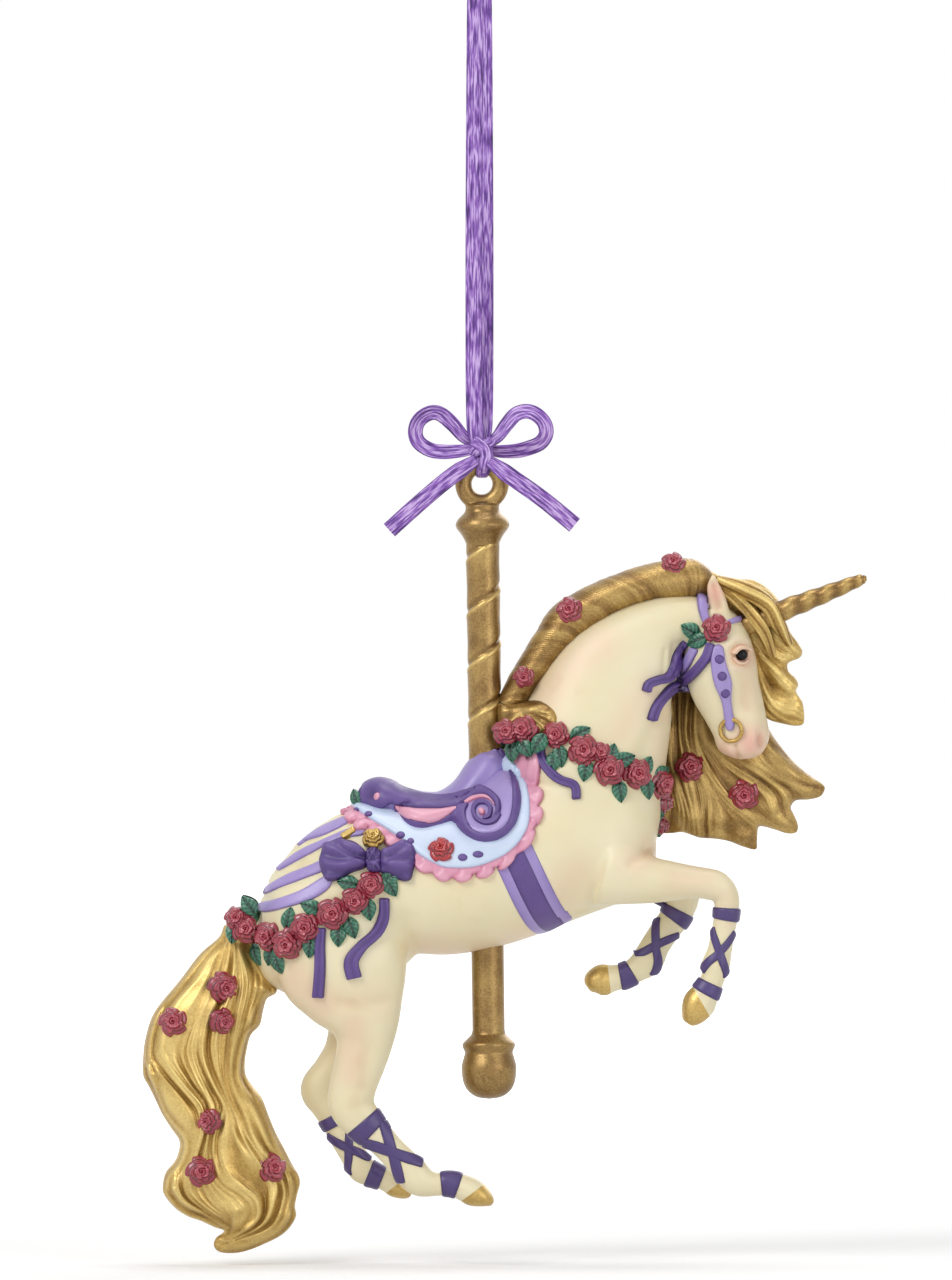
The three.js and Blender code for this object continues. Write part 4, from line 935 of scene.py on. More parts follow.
LEGS = {
    "fore_near": [
        (19.7, -61.4, 6.4, 5.5, -6), (25.3, -63, 4.2, 4.5, -6.4), (30, -63.4, 3.3, 3.6, -6.5),
        (34, -63.6, 2.6, 2.9, -6.5), (37.3, -64.2, 2.5, 2.7, -6.4), (38.9, -65.8, 2.1, 2.4, -6.3),
        (39, -68.5, 2, 2, -6.2), (38.5, -71.4, 1.9, 1.8, -6.1), (37.9, -74.6, 2, 1.8, -6),
        (37.3, -76.8, 2.3, 2.1, -5.9), (36.8, -79, 1.9, 1.7, -5.8), (35.8, -81, 2.2, 2, -5.7),
        (34.7, -82.9, 2.7, 2.5, -5.6), (33.6, -84.8, 2.1, 2.4, -5.5), (32.7, -86.1, 1, 1.4, -5.5),
    ],
    "fore_far": [
        (20.5, -61.4, 4.8, 4.6, 5.2), (26.9, -63, 3.5, 3.8, 5.5), (30.9, -64.2, 2.7, 3.2, 5.5),
        (32.3, -66.1, 2.6, 2.8, 5.5), (31.2, -69, 2.5, 2.3, 5.5), (29.4, -71.5, 2.4, 2, 5.5),
        (27.8, -74, 2.4, 1.9, 5.5), (26.5, -76.4, 2.6, 2.1, 5.5), (24.6, -77.9, 2.1, 1.8, 5.5),
        (22.7, -78.9, 2, 1.8, 5.5), (21, -79.2, 2.2, 2.1, 5.5), (19.4, -79.5, 2.6, 2.4, 5.5),
        (17.9, -80, 2.1, 2.3, 5.5), (16.9, -80.7, 1, 1.4, 5.5),
    ],
    "hind_near": [
        (-23.5, -71.4, 9.9, 5.5, -5.5), (-21.9, -77.2, 10.6, 5.5, -6), (-20.2, -81.8, 8.6, 5, -6),
        (-18.9, -85.8, 6.1, 4.2, -6), (-18.7, -89, 4.6, 3.4, -6), (-19.5, -92.5, 4.1, 3, -6),
        (-20.6, -96.2, 3.8, 2.8, -6), (-20.8, -99.2, 3.7, 2.7, -6), (-18.9, -101.9, 3.2, 2.3, -6),
        (-16.5, -104.3, 2.6, 1.9, -6), (-14.2, -106.7, 2.4, 1.8, -6), (-11.8, -109.3, 2.7, 2, -6),
        (-9.8, -111.2, 2.6, 2.2, -6), (-7.4, -111.8, 1.9, 1.8, -6), (-5.1, -111.7, 1.9, 1.8, -6),
        (-3, -112.3, 2.1, 2.2, -6), (-1.2, -113.2, 2.2, 2.6, -6), (0.6, -114.1, 1.4, 2.3, -6),
        (1.8, -114.8, 0.5, 1.2, -6),
    ],
    "hind_far": [
        (-24.3, -73, 8.8, 5.2, 5.5), (-21.6, -80.2, 7.4, 5, 6), (-20.4, -85.8, 4.9, 4.2, 6),
        (-22, -90.4, 3.3, 3.2, 6), (-24.3, -93.9, 2.8, 2.8, 6), (-26.1, -97.1, 3.1, 2.7, 6),
        (-25, -99.9, 2.4, 2.4, 6), (-23.7, -102.4, 2.1, 2, 6), (-22.1, -105.3, 2.1, 1.8, 6),
        (-20.5, -107.8, 2.2, 1.9, 6), (-19.2, -109.9, 2.3, 2.1, 6), (-17.1, -110.9, 1.9, 1.8, 6),
        (-15.2, -111.7, 1.8, 1.8, 6), (-13.8, -112.7, 1.8, 2.3, 6), (-12.3, -113.6, 1.2, 2.2, 6),
        (-11.4, -114.1, 0.5, 1.2, 6),
    ],
}
CORONETS = {
    "fore_near": ((34.6, -82), (-0.86, -0.5)),
    "fore_far": ((20.4, -79.3), (-1, -0.12)),
    "hind_near": ((-1.7, -113.2), (0.6, -0.8)),
    "hind_far": ((-14.2, -112.7), (0.62, -0.78)),
}
HOOF_REACH = 7.0
SKIN_VOXEL = 0.3
SKIN_ROUNDS = 6
HOOF_CUT = 1e-4
HOOF_SHADE = 0.6

# Where the skin is evened out between two forms: side-view place, reach
JUNCTIONS = [((20, -60), 7), ((-22, -78), 7), ((16, -46), 9), ((35, -24), 4.5), ((26, -56), 6)]
JUNCTION_ROUNDS = 40

# Carving: side-view path, reach, height. Both sides get it.
CARVING = [
    ([(41.3, -27.4)], 1.4, -0.75),
    ([(38.8, -26.0), (40.5, -24.9), (42.4, -25.1)], 0.8, 0.42),
    ([(39.9, -29.2), (41.6, -29.6)], 0.6, 0.25),
    ([(44.6, -40.4), (44.7, -41.6)], 0.6, -0.9),
    ([(43.4, -40.0), (43.5, -42.2), (44.4, -43.1)], 0.7, 0.4),
    ([(40.2, -41.7), (40.6, -42.8), (40.8, -44.0)], 0.32, -0.6),
    ([(39.4, -42.6), (41.8, -42.8)], 0.7, 0.22),
    ([(36.6, -30.5), (36.4, -29.0)], 2.6, 0.45),
    ([(41.2, -31.6), (42.2, -35.8)], 1.5, -0.25),
    ([(40.1, -30.2), (41.0, -33.6)], 0.8, 0.2),
    ([(23.7, -60.6), (25.8, -59.3), (27.8, -57.8)], 0.9, -0.5),
    ([(20, -57), (24, -60)], 3.2, 0.35),
    ([(31.4, -62.8), (34.6, -62.9)], 0.35, -0.2),
    ([(-22.7, -82.6), (-19, -83.0), (-15.5, -82.6)], 1.3, -0.32),
    ([(-12.2, -69.5), (-12.4, -75)], 1.6, -0.4),
    ([(-21, -76)], 4.5, 0.5),
    ([(30.6, -25.6), (30.2, -30.4)], 0.4, -0.25),
    ([(31.9, -25.2), (31.6, -29.6)], 0.4, -0.2),
    ([(29.2, -26.6), (28.9, -30.6)], 0.4, -0.18),
    ([(24, -47), (28.4, -37)], 1.4, -0.3),
    ([(-18.2, -90), (-19.2, -96)], 1.3, -0.2),
]
EAR_HOLLOW = ([(37.7, -19.8), (37.0, -16.2)], 0.55, -0.6)
EAR_INNER = 2.6                  # the hollow lies outside of this depth, and above this height
EAR_FOOT = -20.4
CARVE_FACING = 1.6               # carving fades out where the skin turns away from the side
CARVE_EVEN = (2, 0.5)            # rounds and strength of the smoothing after it
# Skin colour level from the carving: painted shade where it sinks in, a painted highlight where it stands
# out, up to a cap.
SKIN_SHADE = 0.55
SKIN_SHADE_BY_CARVING = 0.3
RAISED_HIGHLIGHT_TOP = 0.3

# Pink on the skin: side-view path, reach, strength. The entries on the head and ear are pink paint. Those on
# the neck, body and legs are pink painted shade, in creases, hollows and undersides.
BLUSH_AND_SHADE = [
    ([(43.0, -41.5)], 3.1, 0.78), ([(41.7, -27.7)], 2.5, 0.58), ([(42.3, -30), (42.8, -35)], 2.2, 0.24),
    ([(37.2, -17.4)], 2.2, 0.72), ([(38.9, -42.4), (40.2, -43.2)], 1.9, 0.55),
    ([(10.5, -34), (14, -29.5), (19, -25.5)], 3.1, 0.28), ([(24.5, -60.2), (26.5, -59)], 2.6, 0.26),
    ([(31, -63), (35, -63)], 2.7, 0.21), ([(-9, -74.5), (0, -75), (8, -72)], 2.7, 0.24),
    ([(12, -66), (15, -62)], 3.1, 0.21), ([(-30, -79), (-25, -83)], 3.1, 0.32),
    ([(-22, -82.6), (-17, -82.8)], 3.0, 0.16), ([(-20.4, -86), (-20.8, -94)], 2.5, 0.28),
    ([(22, -40), (26, -33), (28.4, -37)], 2.4, 0.21), ([(28.8, -41), (28, -47)], 2.0, 0.17),
    ([(38.6, -66), (39, -69)], 2.0, 0.17),
]


def tubes(*lofts):
    """Lofts gathered as closed tubes."""
    heap = Heap()
    for points, _ in lofts:
        heap.tube(points)
    return heap


def near_path(points, path):
    """Side-view distance from each point to a path."""
    line = smooth_line(path, 24) if len(path) > 1 else np.asarray(path, float)
    flat = points[:, [0, 2]]
    return np.linalg.norm(flat[:, None] - line[None], axis=-1).min(1)


def make_skin():
    """The whole animal as one carved skin: points, quads, relief, and the pink of paint and painted shade."""
    ears = [[(x, z, a, b, side * y) for x, z, a, b, y in EAR] for _, side in SIDES]
    forms = [loft(TORSO, rings=80, sides=72), loft(NECK, rings=60, sides=64), loft(HEAD, rings=60, sides=56)]
    forms += [loft(ear, rings=20, sides=24) for ear in ears]
    forms += [loft(leg, rings=100, sides=36) for leg in LEGS.values()]
    points, quads = remeshed(tubes(*forms), SKIN_VOXEL, SKIN_ROUNDS)
    joints = np.zeros(len(points))
    for place, reach in JUNCTIONS:
        joints = np.maximum(joints, bell(near_path(points, [place]), reach))
    points = relax(points, quads, JUNCTION_ROUNDS, joints)
    depth = np.zeros(len(points))
    for path, reach, height in CARVING:
        depth += height * bell(near_path(points, path), reach)
    path, reach, height = EAR_HOLLOW
    hollow = height * bell(near_path(points, path), reach)
    depth += np.where((np.abs(points[:, 1]) > EAR_INNER) & (points[:, 2] > EAR_FOOT), hollow, 0)
    out = point_normals(points, quads)
    facing = np.clip(np.abs(out[:, 1]) * CARVE_FACING, 0, 1)
    points = points + out * (depth * facing)[:, None]
    points = relax(points, quads, CARVE_EVEN[0], np.full(len(points), CARVE_EVEN[1]))
    # Pink paint on the head, pink painted shade on the neck, body and legs.
    blush_and_shade = np.zeros(len(points))
    for path, reach, strength in BLUSH_AND_SHADE:
        blush_and_shade = np.maximum(blush_and_shade, strength * bell(near_path(points, path), reach))
    # Painted shade where the carving sinks in, a painted highlight where it stands out.
    return points, quads, np.clip(SKIN_SHADE + SKIN_SHADE_BY_CARVING * np.minimum(depth, RAISED_HIGHLIGHT_TOP), 0, 1), blush_and_shade


def split_hooves(skin):
    """Cuts the painted hooves off the skin along their coronets."""
    points, quads, relief, blush_and_shade = skin
    mesh = bmesh.new()
    keys = {name: mesh.verts.layers.float.new(name) for name in ("relief", "blush_and_shade")}
    verts = [mesh.verts.new(p) for p in points]
    for vert, shade, pink in zip(verts, relief, blush_and_shade):
        vert[keys["relief"]] = shade
        vert[keys["blush_and_shade"]] = pink
    for quad in quads:
        mesh.faces.new([verts[i] for i in quad])
    parts = {}
    for name, ((x, z), (wx, wz)) in CORONETS.items():
        side = NEAR if name.endswith("near") else FAR
        start, way = Vector((x, 0, z)), Vector((wx, 0, wz)).normalized()

        def at_hoof(face):
            middle = face.calc_center_median()
            return middle.y * side > 0 and (middle - start).xz.length < HOOF_REACH

        local = [f for f in mesh.faces if at_hoof(f)]
        around = {e for f in local for e in f.edges} | {v for f in local for v in f.verts}
        bmesh.ops.bisect_plane(mesh, geom=list(local) + list(around), dist=HOOF_CUT, plane_co=start,
                               plane_no=way)
        toe = [f for f in mesh.faces if at_hoof(f) and (f.calc_center_median() - start).dot(way) > 0]
        places = {v: i for i, v in enumerate({v: None for f in toe for v in f.verts})}
        parts[name] = ([v.co[:] for v in places], [[places[v] for v in f.verts] for f in toe])
        bmesh.ops.delete(mesh, geom=toe, context="FACES")
    mesh.verts.index_update()
    rest = [v.co[:] for v in mesh.verts], [[v.index for v in f.verts] for f in mesh.faces]
    values = [[v[keys[name]] for v in mesh.verts] for name in ("relief", "blush_and_shade")]
    mesh.free()
    return rest, values, parts


skin = make_skin()
body = Carrier(skin[0], skin[1])
(skin_points, skin_faces), (skin_relief, skin_blush_and_shade), hooves = split_hooves(skin)
piece("horse_skin", Heap().add(skin_points, skin_faces, skin_relief), CREAM,
      ["horse_torso", "horse_neck", "horse_head"] + [f"leg_{name}" for name in LEGS],
      extra={"blush_and_shade": skin_blush_and_shade})
for leg_name, (points, faces) in hooves.items():
    piece(f"hoof_paint_{leg_name}", Heap().add(points, faces, HOOF_SHADE), BRIGHT_GOLD, [f"hoof_{leg_name}"])

sight = {side: SideView(body, side) for _, side in SIDES}
trunk = Wrap(body, ([s[0] for s in TORSO], [s[1] for s in TORSO]))

# Eyes with their lids
EYE_PLACE = (41.3, -27.4)
EYEBALL = np.array([1.0, 0.9, 0.75])
EYE_ROWS = 14
EYE_SIDES = 32
EYE_TIP = 0.02
EYE_PROUD = 0.4
EYE_TILT = 0.15
LIDS = ([(39.8, -27.3), (40.3, -26.5), (41.0, -26.05), (41.9, -26.1), (42.7, -26.9)],
        [(39.9, -27.7), (40.6, -28.6), (41.6, -28.85), (42.6, -28.1)])
LID_SIZES = ((0.6, 0.8), (0.36, 0.35))
LID_BLUSH = 0.5


def add_eyes():
    """A glossy eye under a heavy lid on each side."""
    angle = full_turn(EYE_SIDES)
    level = np.linspace(EYE_TIP, math.pi / 2, EYE_ROWS)[:, None]
    relief = np.repeat(np.cos(level), EYE_SIDES, 1)
    dome = EYEBALL * np.stack([np.sin(level) * np.cos(angle), np.sin(level) * np.sin(angle), relief], axis=-1)
    for name, side in SIDES:
        (place,), (out,) = sight[side].lay([EYE_PLACE])
        ball = standing(dome, place + out * EYE_PROUD, (EYE_TILT, side, 0.0), EYE_TILT)
        heap = Heap().tube(ball[::-1], relief[::-1])
        piece(f"eye_paint_{name}", heap, BLACK, [f"eye_{name}"])
        lids = Heap()
        for path, (width, height) in zip(LIDS, LID_SIZES):
            lids.add(*band(path, width, sight[side], height, lift=0.1, rows=30))
        blush_and_shade = np.full(len(lids.arrays()[0]), LID_BLUSH)
        piece(f"eyelids_{name}", lids, CREAM, extra={"blush_and_shade": blush_and_shade})


add_eyes()

# Pole
COLLAR = [
    (0.02, -2.4), (2.5, -3.3), (2.65, -3.9), (2.9, -4.6), (3.9, -5.6), (4.3, -6.5), (4.15, -7.1),
    (3.4, -8.1), (2.8, -9.2), (2.6, -10.0),
]
EYE_HOLE_RADIUS = 1.65
EYE_RADIUS = 4.3
EYE_GRID = (97, 32)
CAP_VOXEL = 0.16
CAP_ROUNDS = 5
POLE_RADIUS = 2.6
POLE_LEAN = 0.012
POLE_SIDES = 72
SHAFT_ROWS = 520
TWIST_PITCH = 8.65
TWIST_START = 3.44               # angle that puts the ridge where the photograph shows it
TWIST_DEPTH = 0.26
TWIST_END = -50.0
TWIST_FADE = 4.0
GROOVE = (0.5, 0.4)              # angle from the ridge to the groove above it, and its width
RIDGE_HEIGHT = 0.14
RIDGE_WIDTH = 0.26
SWELL = 0.22                     # roundness of the turn between two ridges
SWELL_RISE = 0.4
TWIST_SHADES = (0.16, 0.4, 0.3)  # relief values of groove, ridge and swell
SHAFT_TOP = -9.6
FINIAL_TOP = -88.0
FINIAL = [
    (2.6, -87.4), (2.75, -88.0), (3.2, -88.5), (4.1, -89.4), (4.2, -90.0), (3.85, -90.9), (4.0, -91.6),
    (4.35, -92.9), (4.4, -94.0), (4.1, -95.8), (3.3, -97.2), (1.9, -98.1), (0.02, -98.4),
]


def leaned(points):
    """Tilts the upright pole about the eye."""
    turned = np.array(points)
    turned[..., 0] = points[..., 0] * math.cos(POLE_LEAN) - points[..., 2] * math.sin(POLE_LEAN)
    turned[..., 2] = points[..., 2] * math.cos(POLE_LEAN) + points[..., 0] * math.sin(POLE_LEAN)
    return turned


def add_pole():
    """Eye and collar, twisted shaft and ball finial."""
    middle = (EYE_RADIUS + EYE_HOLE_RADIUS) / 2
    eye = wire_ring(middle, EYE_RADIUS - middle, *EYE_GRID)[..., [0, 2, 1]]
    cap = Heap().tube(eye).tube(lathe(COLLAR, POLE_SIDES, rows=70))
    points, quads = remeshed(cap, CAP_VOXEL, CAP_ROUNDS)
    cap = Heap().add(leaned(points), quads.tolist())
    piece("eye_cap_cast", cap, POLE_GOLD, ["pole_eye_cap"])
    level = np.linspace(SHAFT_TOP, FINIAL_TOP + 0.1, SHAFT_ROWS)[:, None]
    angle = full_turn(POLE_SIDES)[None]
    phase = np.mod(angle - 2 * math.pi * level / TWIST_PITCH + TWIST_START, 2 * math.pi) - math.pi
    fade = np.clip((level - TWIST_END) / TWIST_FADE, 0, 1)
    groove = fade * bell(phase + GROOVE[0], GROOVE[1])
    ridge = fade * bell(phase, RIDGE_WIDTH)
    swell = fade * SWELL * np.cos(phase / 2)
    radius = POLE_RADIUS - TWIST_DEPTH * groove + RIDGE_HEIGHT * ridge + swell * SWELL_RISE
    level = np.repeat(level, POLE_SIDES, 1)
    shaft = np.stack([radius * np.cos(angle), radius * np.sin(angle), level], axis=-1)
    # Painted shade in the groove and a painted highlight on the ridge and the swell.
    relief = 0.5 - TWIST_SHADES[0] * groove + TWIST_SHADES[1] * ridge + TWIST_SHADES[2] * swell
    piece("shaft_cast", Heap().tube(leaned(shaft), relief), POLE_GOLD, ["pole_shaft"])
    ball = leaned(lathe(FINIAL, POLE_SIDES, rows=90))
    piece("finial_cast", Heap().tube(ball), POLE_GOLD, ["pole_finial"])


add_pole()

# Hair and horn
CREST = [
    (4.2, -35.6, 2.1, 2.6), (6.5, -31.9, 2.5, 3.3), (8.7, -28.6, 2.7, 3.8), (11.2, -25.1, 3, 4.1),
    (13.6, -22.3, 3.5, 4.3), (17.3, -19.8, 3.3, 4.4), (22.2, -17.3, 3, 4.4), (27.4, -15.8, 3.1, 4.3),
    (32.2, -15.2, 3.3, 3.7), (34.6, -15.6, 2.9, 3), (36.6, -16.6, 1.6, 1.8),
]
WITHERS_CURL = [
    (3, -36, 2, 2.4, -1.2), (5.5, -37, 2, 3, -1.8), (8.5, -37, 2, 3.6, -2.6), (11.4, -37.6, 2, 3.4, -3.6),
    (12.4, -40, 2, 2.8, -4.2), (4, -40, 2, 3, -1.6), (8, -40.4, 2, 3.4, -3),
]
FORELOCK = [
    [
        (36.6, -15.4, 1.6, 1.6, 0), (43, -16, 2, 1.9, 1.5), (47, -19, 2, 1.9, 3),
        (48.6, -23, 2.3, 1.8, 3.6), (50, -26, 1.9, 1.4, 4), (49.8, -28.4, 0.9, 0.7, 4),
    ],
    [
        (38, -17, 1.6, 1.6, 0.6), (43.4, -19.6, 2.4, 1.9, 2.4), (46, -24.5, 2.4, 1.9, 3.6),
        (47.2, -29.5, 2.5, 1.8, 4.4), (49.2, -32.4, 1.9, 1.4, 4.6), (49.4, -34.8, 0.9, 0.7, 4.6),
    ],
    [
        (38.6, -18.4, 1.4, 1.4, 1), (42.8, -22.5, 2.2, 1.9, 3.4), (44.6, -28, 2.2, 1.9, 4.8),
        (46.2, -33.5, 2.6, 1.8, 5.2), (49.2, -36.4, 2.1, 1.4, 5), (51, -38.3, 0.9, 0.7, 5),
    ],
]
MANE_FALL = [
    [
        (36, -29, 1.8, 1.6, 8.6), (40, -37, 2.6, 2.2, 8), (44.8, -42.4, 2.9, 2.6, 6.6),
        (49.2, -46.6, 2.7, 2.2, 5.8), (52.4, -48.7, 1.7, 1.5, 5.6), (54.4, -49.2, 0.8, 0.7, 5.6),
    ],
    [
        (34, -29, 2, 1.8, 8.6), (38, -39, 3, 2.4, 8), (42.5, -46, 3.4, 2.8, 6.6),
        (46.3, -51, 3.3, 2.3, 6.2), (48.6, -53.8, 2.3, 1.5, 6), (49.9, -55.2, 1, 0.8, 6),
    ],
    [
        (31.5, -29, 2, 1.8, 8.4), (34.6, -39, 3.1, 2.6, 7.8), (37.8, -47, 3.6, 2.8, 7),
        (40.8, -53, 3.6, 2.3, 6.6), (42.4, -56, 2.3, 1.5, 6.4), (43.2, -57.9, 1, 0.8, 6.4),
    ],
    [
        (34.4, -42, 2.6, 2.4, 7.4), (36.2, -48, 3, 2.6, 7.2), (37.8, -53, 2.6, 2.1, 6.9),
        (38.8, -56.6, 1.2, 0.9, 6.7),
    ],
    [
        (29, -29, 2, 2, 7), (31, -40, 3, 2.8, 7.6), (32.4, -47, 3.4, 2.8, 7.6),
        (33.8, -53, 3.3, 2.2, 7.2), (34.8, -56.2, 1.7, 1, 7),
    ],
    [
        (24, -20, 2.4, 2, 4.6), (25.4, -28, 3.2, 2.2, 7.2), (27.4, -38, 3.4, 2.4, 8.6),
        (29, -47, 2.8, 2.4, 9), (30.4, -55.4, 0.6, 0.7, 8.6),
    ],
    [
        (18.4, -21.5, 3, 1.8, 5), (19.4, -29, 3.9, 2, 7.8), (21, -38, 3.8, 2.2, 9.4),
        (23, -47, 0.6, 0.7, 10.4),
    ],
    [(13, -25.5, 3, 1.8, 4.8), (14, -33, 3.7, 2, 7.8), (15, -41, 0.6, 0.7, 10.6)],
    [
        (9, -27.8, 2, 1.5, 3), (12.6, -22.8, 2, 1.5, 3.2), (17, -19.4, 2, 1.5, 3.2),
        (22.6, -17.1, 2, 1.5, 3.2), (29.4, -16.2, 2, 1.5, 3.2), (34.4, -17.8, 2, 1.5, 3),
    ],
]
TAIL = [
    (-37.4, -70.8, 1.8, 3), (-40.4, -75.4, 4.5, 4), (-42.7, -80.2, 7.2, 4.8), (-43.9, -85, 8.5, 5.2),
    (-45.6, -89.8, 8.2, 5.4), (-45.9, -94.6, 8.1, 5.4), (-43.7, -98.6, 8.4, 5.2), (-41.4, -103.4, 8.2, 5),
    (-40, -107.4, 9, 5), (-39.8, -111.4, 10.5, 5), (-39.6, -115.4, 9.6, 4.6), (-38.4, -118.4, 7, 3.8),
    (-38.2, -120.2, 3.2, 2.4),
]
TAIL_CURL = [
    (-31, -112.5, 2.2, 2.6), (-31.4, -117.2, 2.6, 2.8), (-34.6, -120.2, 2.2, 2.5),
    (-38.6, -121.6, 1.3, 2), (-42.4, -122, 0.5, 0.8),
]
HORN = [
    (41.2, -22.9, 1.7, 1.7), (47.6, -20.4, 1.7, 1.7), (54.4, -17.8, 1.4, 1.4), (60.4, -15.4, 0.92, 0.92),
    (61.1, -15.1, 0.3, 0.3),
]
HORN_TURNS = 9
HORN_RIDGE = 0.05
HORN_SHADE = 0.2
HORN_LOCK_SEED = 41


def strands(count, depth, drift, seed):
    """Hair grooves that wander along a lock."""
    chance = np.random.default_rng(seed)
    phases = chance.uniform(0, 2 * math.pi, 4)

    def wave(share, angle):
        sway = drift * np.sin(2.6 * share * math.pi + phases[0]) + 0.6 * drift * share
        broad = np.cos(count * (angle + 0.12 * sway) + phases[1])
        fine = np.cos((2 * count + 3) * (angle + 0.16 * sway) + phases[2] + 2 * np.sin(5 * share + phases[3]))
        return depth * (0.7 * broad + 0.3 * fine)

    return wave


def add_lock(heap, stations, seed, count, depth, rings=64, sides=56, drift=2.0):
    """One lock of carved hair."""
    points, wave = loft(stations, rings, sides, strands(count, depth, drift, seed))
    fold = np.abs(full_turn(sides) - math.pi)
    # Painted shade in the lock's grooves and a painted highlight on its ridges.
    heap.tube(points, 0.5 + 0.5 * wave / depth, LOCK_HAIRS * fold[None, :])


GUIDE_POINTS = 70
HAIRS = 9                        # fine hairs across one lock of a mass, and round a single lock to a radian
LOCK_HAIRS = 8
GROOVE_FOOT = 1.0                # width of a groove's foot in steps of the mesh
STRANDS = 3.2                    # strands across one lock
RIM_STRAND = 1.5                 # width of a strand round the rim
RIM_DEPTH = 0.13
RIM_HAIRS = 3.0                  # fine hairs to a millimetre round the rim
STROKES = 64                     # number of different grooves before their strokes repeat
STROKE_DEPTH = 0.75
STROKE_SWING = 0.55
LOCK_TURNS = 1.6                 # strokes along the hair, in the grooves between locks and between strands
STRAND_TURNS = 2.6
LOCK_SHARE = 0.62                # what locks and strands add to the carving's height
STRAND_SHARE = 0.38
WANDER = (0.24, 0.15)            # how far the grooves wander from the guide lines, in locks
NARROW = (1.0, 1.4)              # lock width where strands begin, and what it takes to their full height
CLOSE = (0.4, 0.8)               # the same for locks
RIM_SHADE = 0.16
EDGE_ROWS = 0.4                  # depth of the closer rows of points along an edge of hair
HAIR_DEPTH = 0.05                # least half depth of a mass of hair
STATION_REACH = 0.3


def along_line(spots, line):
    """Distance from each spot to a line, and the share along it."""
    near = np.linalg.norm(spots[:, None] - line[None], axis=-1).argmin(1)
    far = np.full(len(spots), np.inf)
    share = np.zeros(len(spots))
    for first in (near - 1, near):
        start = np.clip(first, 0, len(line) - 2)
        way = line[start + 1] - line[start]
        part = np.clip(((spots - line[start]) * way).sum(1) / (way**2).sum(1), 0, 1)
        gap = np.linalg.norm(spots - line[start] - way * part[:, None], axis=1)
        share = np.where(gap < far, (start + part) / (len(line) - 1), share)
        far = np.minimum(gap, far)
    return far, share


def flow(spots, guides):
    """Place among guide lines that are given in order: number across, share along, and width between two."""
    lines = [smooth_line(guide, GUIDE_POINTS) for guide in guides]
    last = len(lines) - 1
    far, share = (np.array(values) for values in zip(*(along_line(spots, line) for line in lines)))
    steps = np.linspace(0, 1, GUIDE_POINTS)
    apart = np.array([[np.interp(share[i], steps, along_line(line, lines[min(max(i + way, 0), last)])[0])
                       for way in (-1, 1)] for i, line in enumerate(lines)])
    rows = np.arange(len(spots))
    nearest = far.argmin(0)
    before = far[np.maximum(nearest - 1, 0), rows] - apart[nearest, 0, rows]
    after = far[np.minimum(nearest + 1, last), rows] - apart[nearest, 1, rows]
    down = (nearest == last) | ((nearest > 0) & (before < after))
    other = np.where(down, nearest - 1, nearest + 1)
    here, there = far[nearest, rows], far[other, rows]
    width = np.maximum(apart[nearest, np.where(down, 0, 1), rows], 1e-3)
    outside = ((nearest == 0) & (after > 0)) | ((nearest == last) & (before > 0))
    inward = here / np.maximum(here + there, 1e-9)
    step = np.where(outside, -here / width, inward) * np.where(down, -1, 1)
    along = share[nearest, rows] * (1 - inward) + share[other, rows] * inward
    return nearest + step, np.where(outside, share[nearest, rows], along), width


def grooved(phase, blur):
    """Ridges from -1 to 1 with a groove at each half turn. The groove's foot is as wide as the blur."""
    low = np.minimum(blur, 1.5)
    return 2 * (np.sqrt(np.sin(phase) ** 2 + low**2) - low) / (np.sqrt(1 + low**2) - low) - 1


def stroked(ridge, line, along, turns, phases):
    """Lets each groove come and go along its length, so that the carving reads as separate strokes."""
    phase = phases[np.round(line).astype(int) % STROKES]
    depth = np.clip(STROKE_DEPTH + STROKE_SWING * np.sin(2 * math.pi * turns * along + phase), 0, 1)
    return 1 - depth * (1 - ridge)


def carved(across, along, width, locks, pitch, seed):
    """Carved strands that follow the guide lines: height from -1 to 1, and the place across the locks."""
    draws = np.random.default_rng(seed)
    sway = draws.uniform(0, 2 * math.pi, 6)
    phases = draws.uniform(0, 2 * math.pi, (2, STROKES))
    wander = WANDER[0] * np.sin(5.1 * along + 1.7 * across + sway[0])
    wander = wander + WANDER[1] * np.sin(11 * along - 2.3 * across + sway[1])
    line = (across + wander) * locks
    blur = GROOVE_FOOT * math.pi * locks * pitch / width
    broad = stroked(grooved(math.pi * line, blur), line, along, LOCK_TURNS, phases[0])
    swell = 0.75 + 0.25 * np.sin(8 * along + 1.3 * line + sway[2])
    drift = 0.5 * np.sin(6 * along + sway[3]) + 0.35 * np.sin(2.1 * line + sway[5])
    fine = STRANDS * line + drift
    strand = stroked(grooved(math.pi * fine, STRANDS * blur), fine, along, STRAND_TURNS, phases[1])
    ease = 0.65 + 0.35 * np.sin(11 * along - 0.8 * line + sway[4])
    room = np.clip((width / locks - NARROW[0]) / NARROW[1], 0, 1)
    wide = np.clip((width / locks - CLOSE[0]) / CLOSE[1], 0, 1)
    return LOCK_SHARE * broad * swell * wide + STRAND_SHARE * strand * ease * room, line


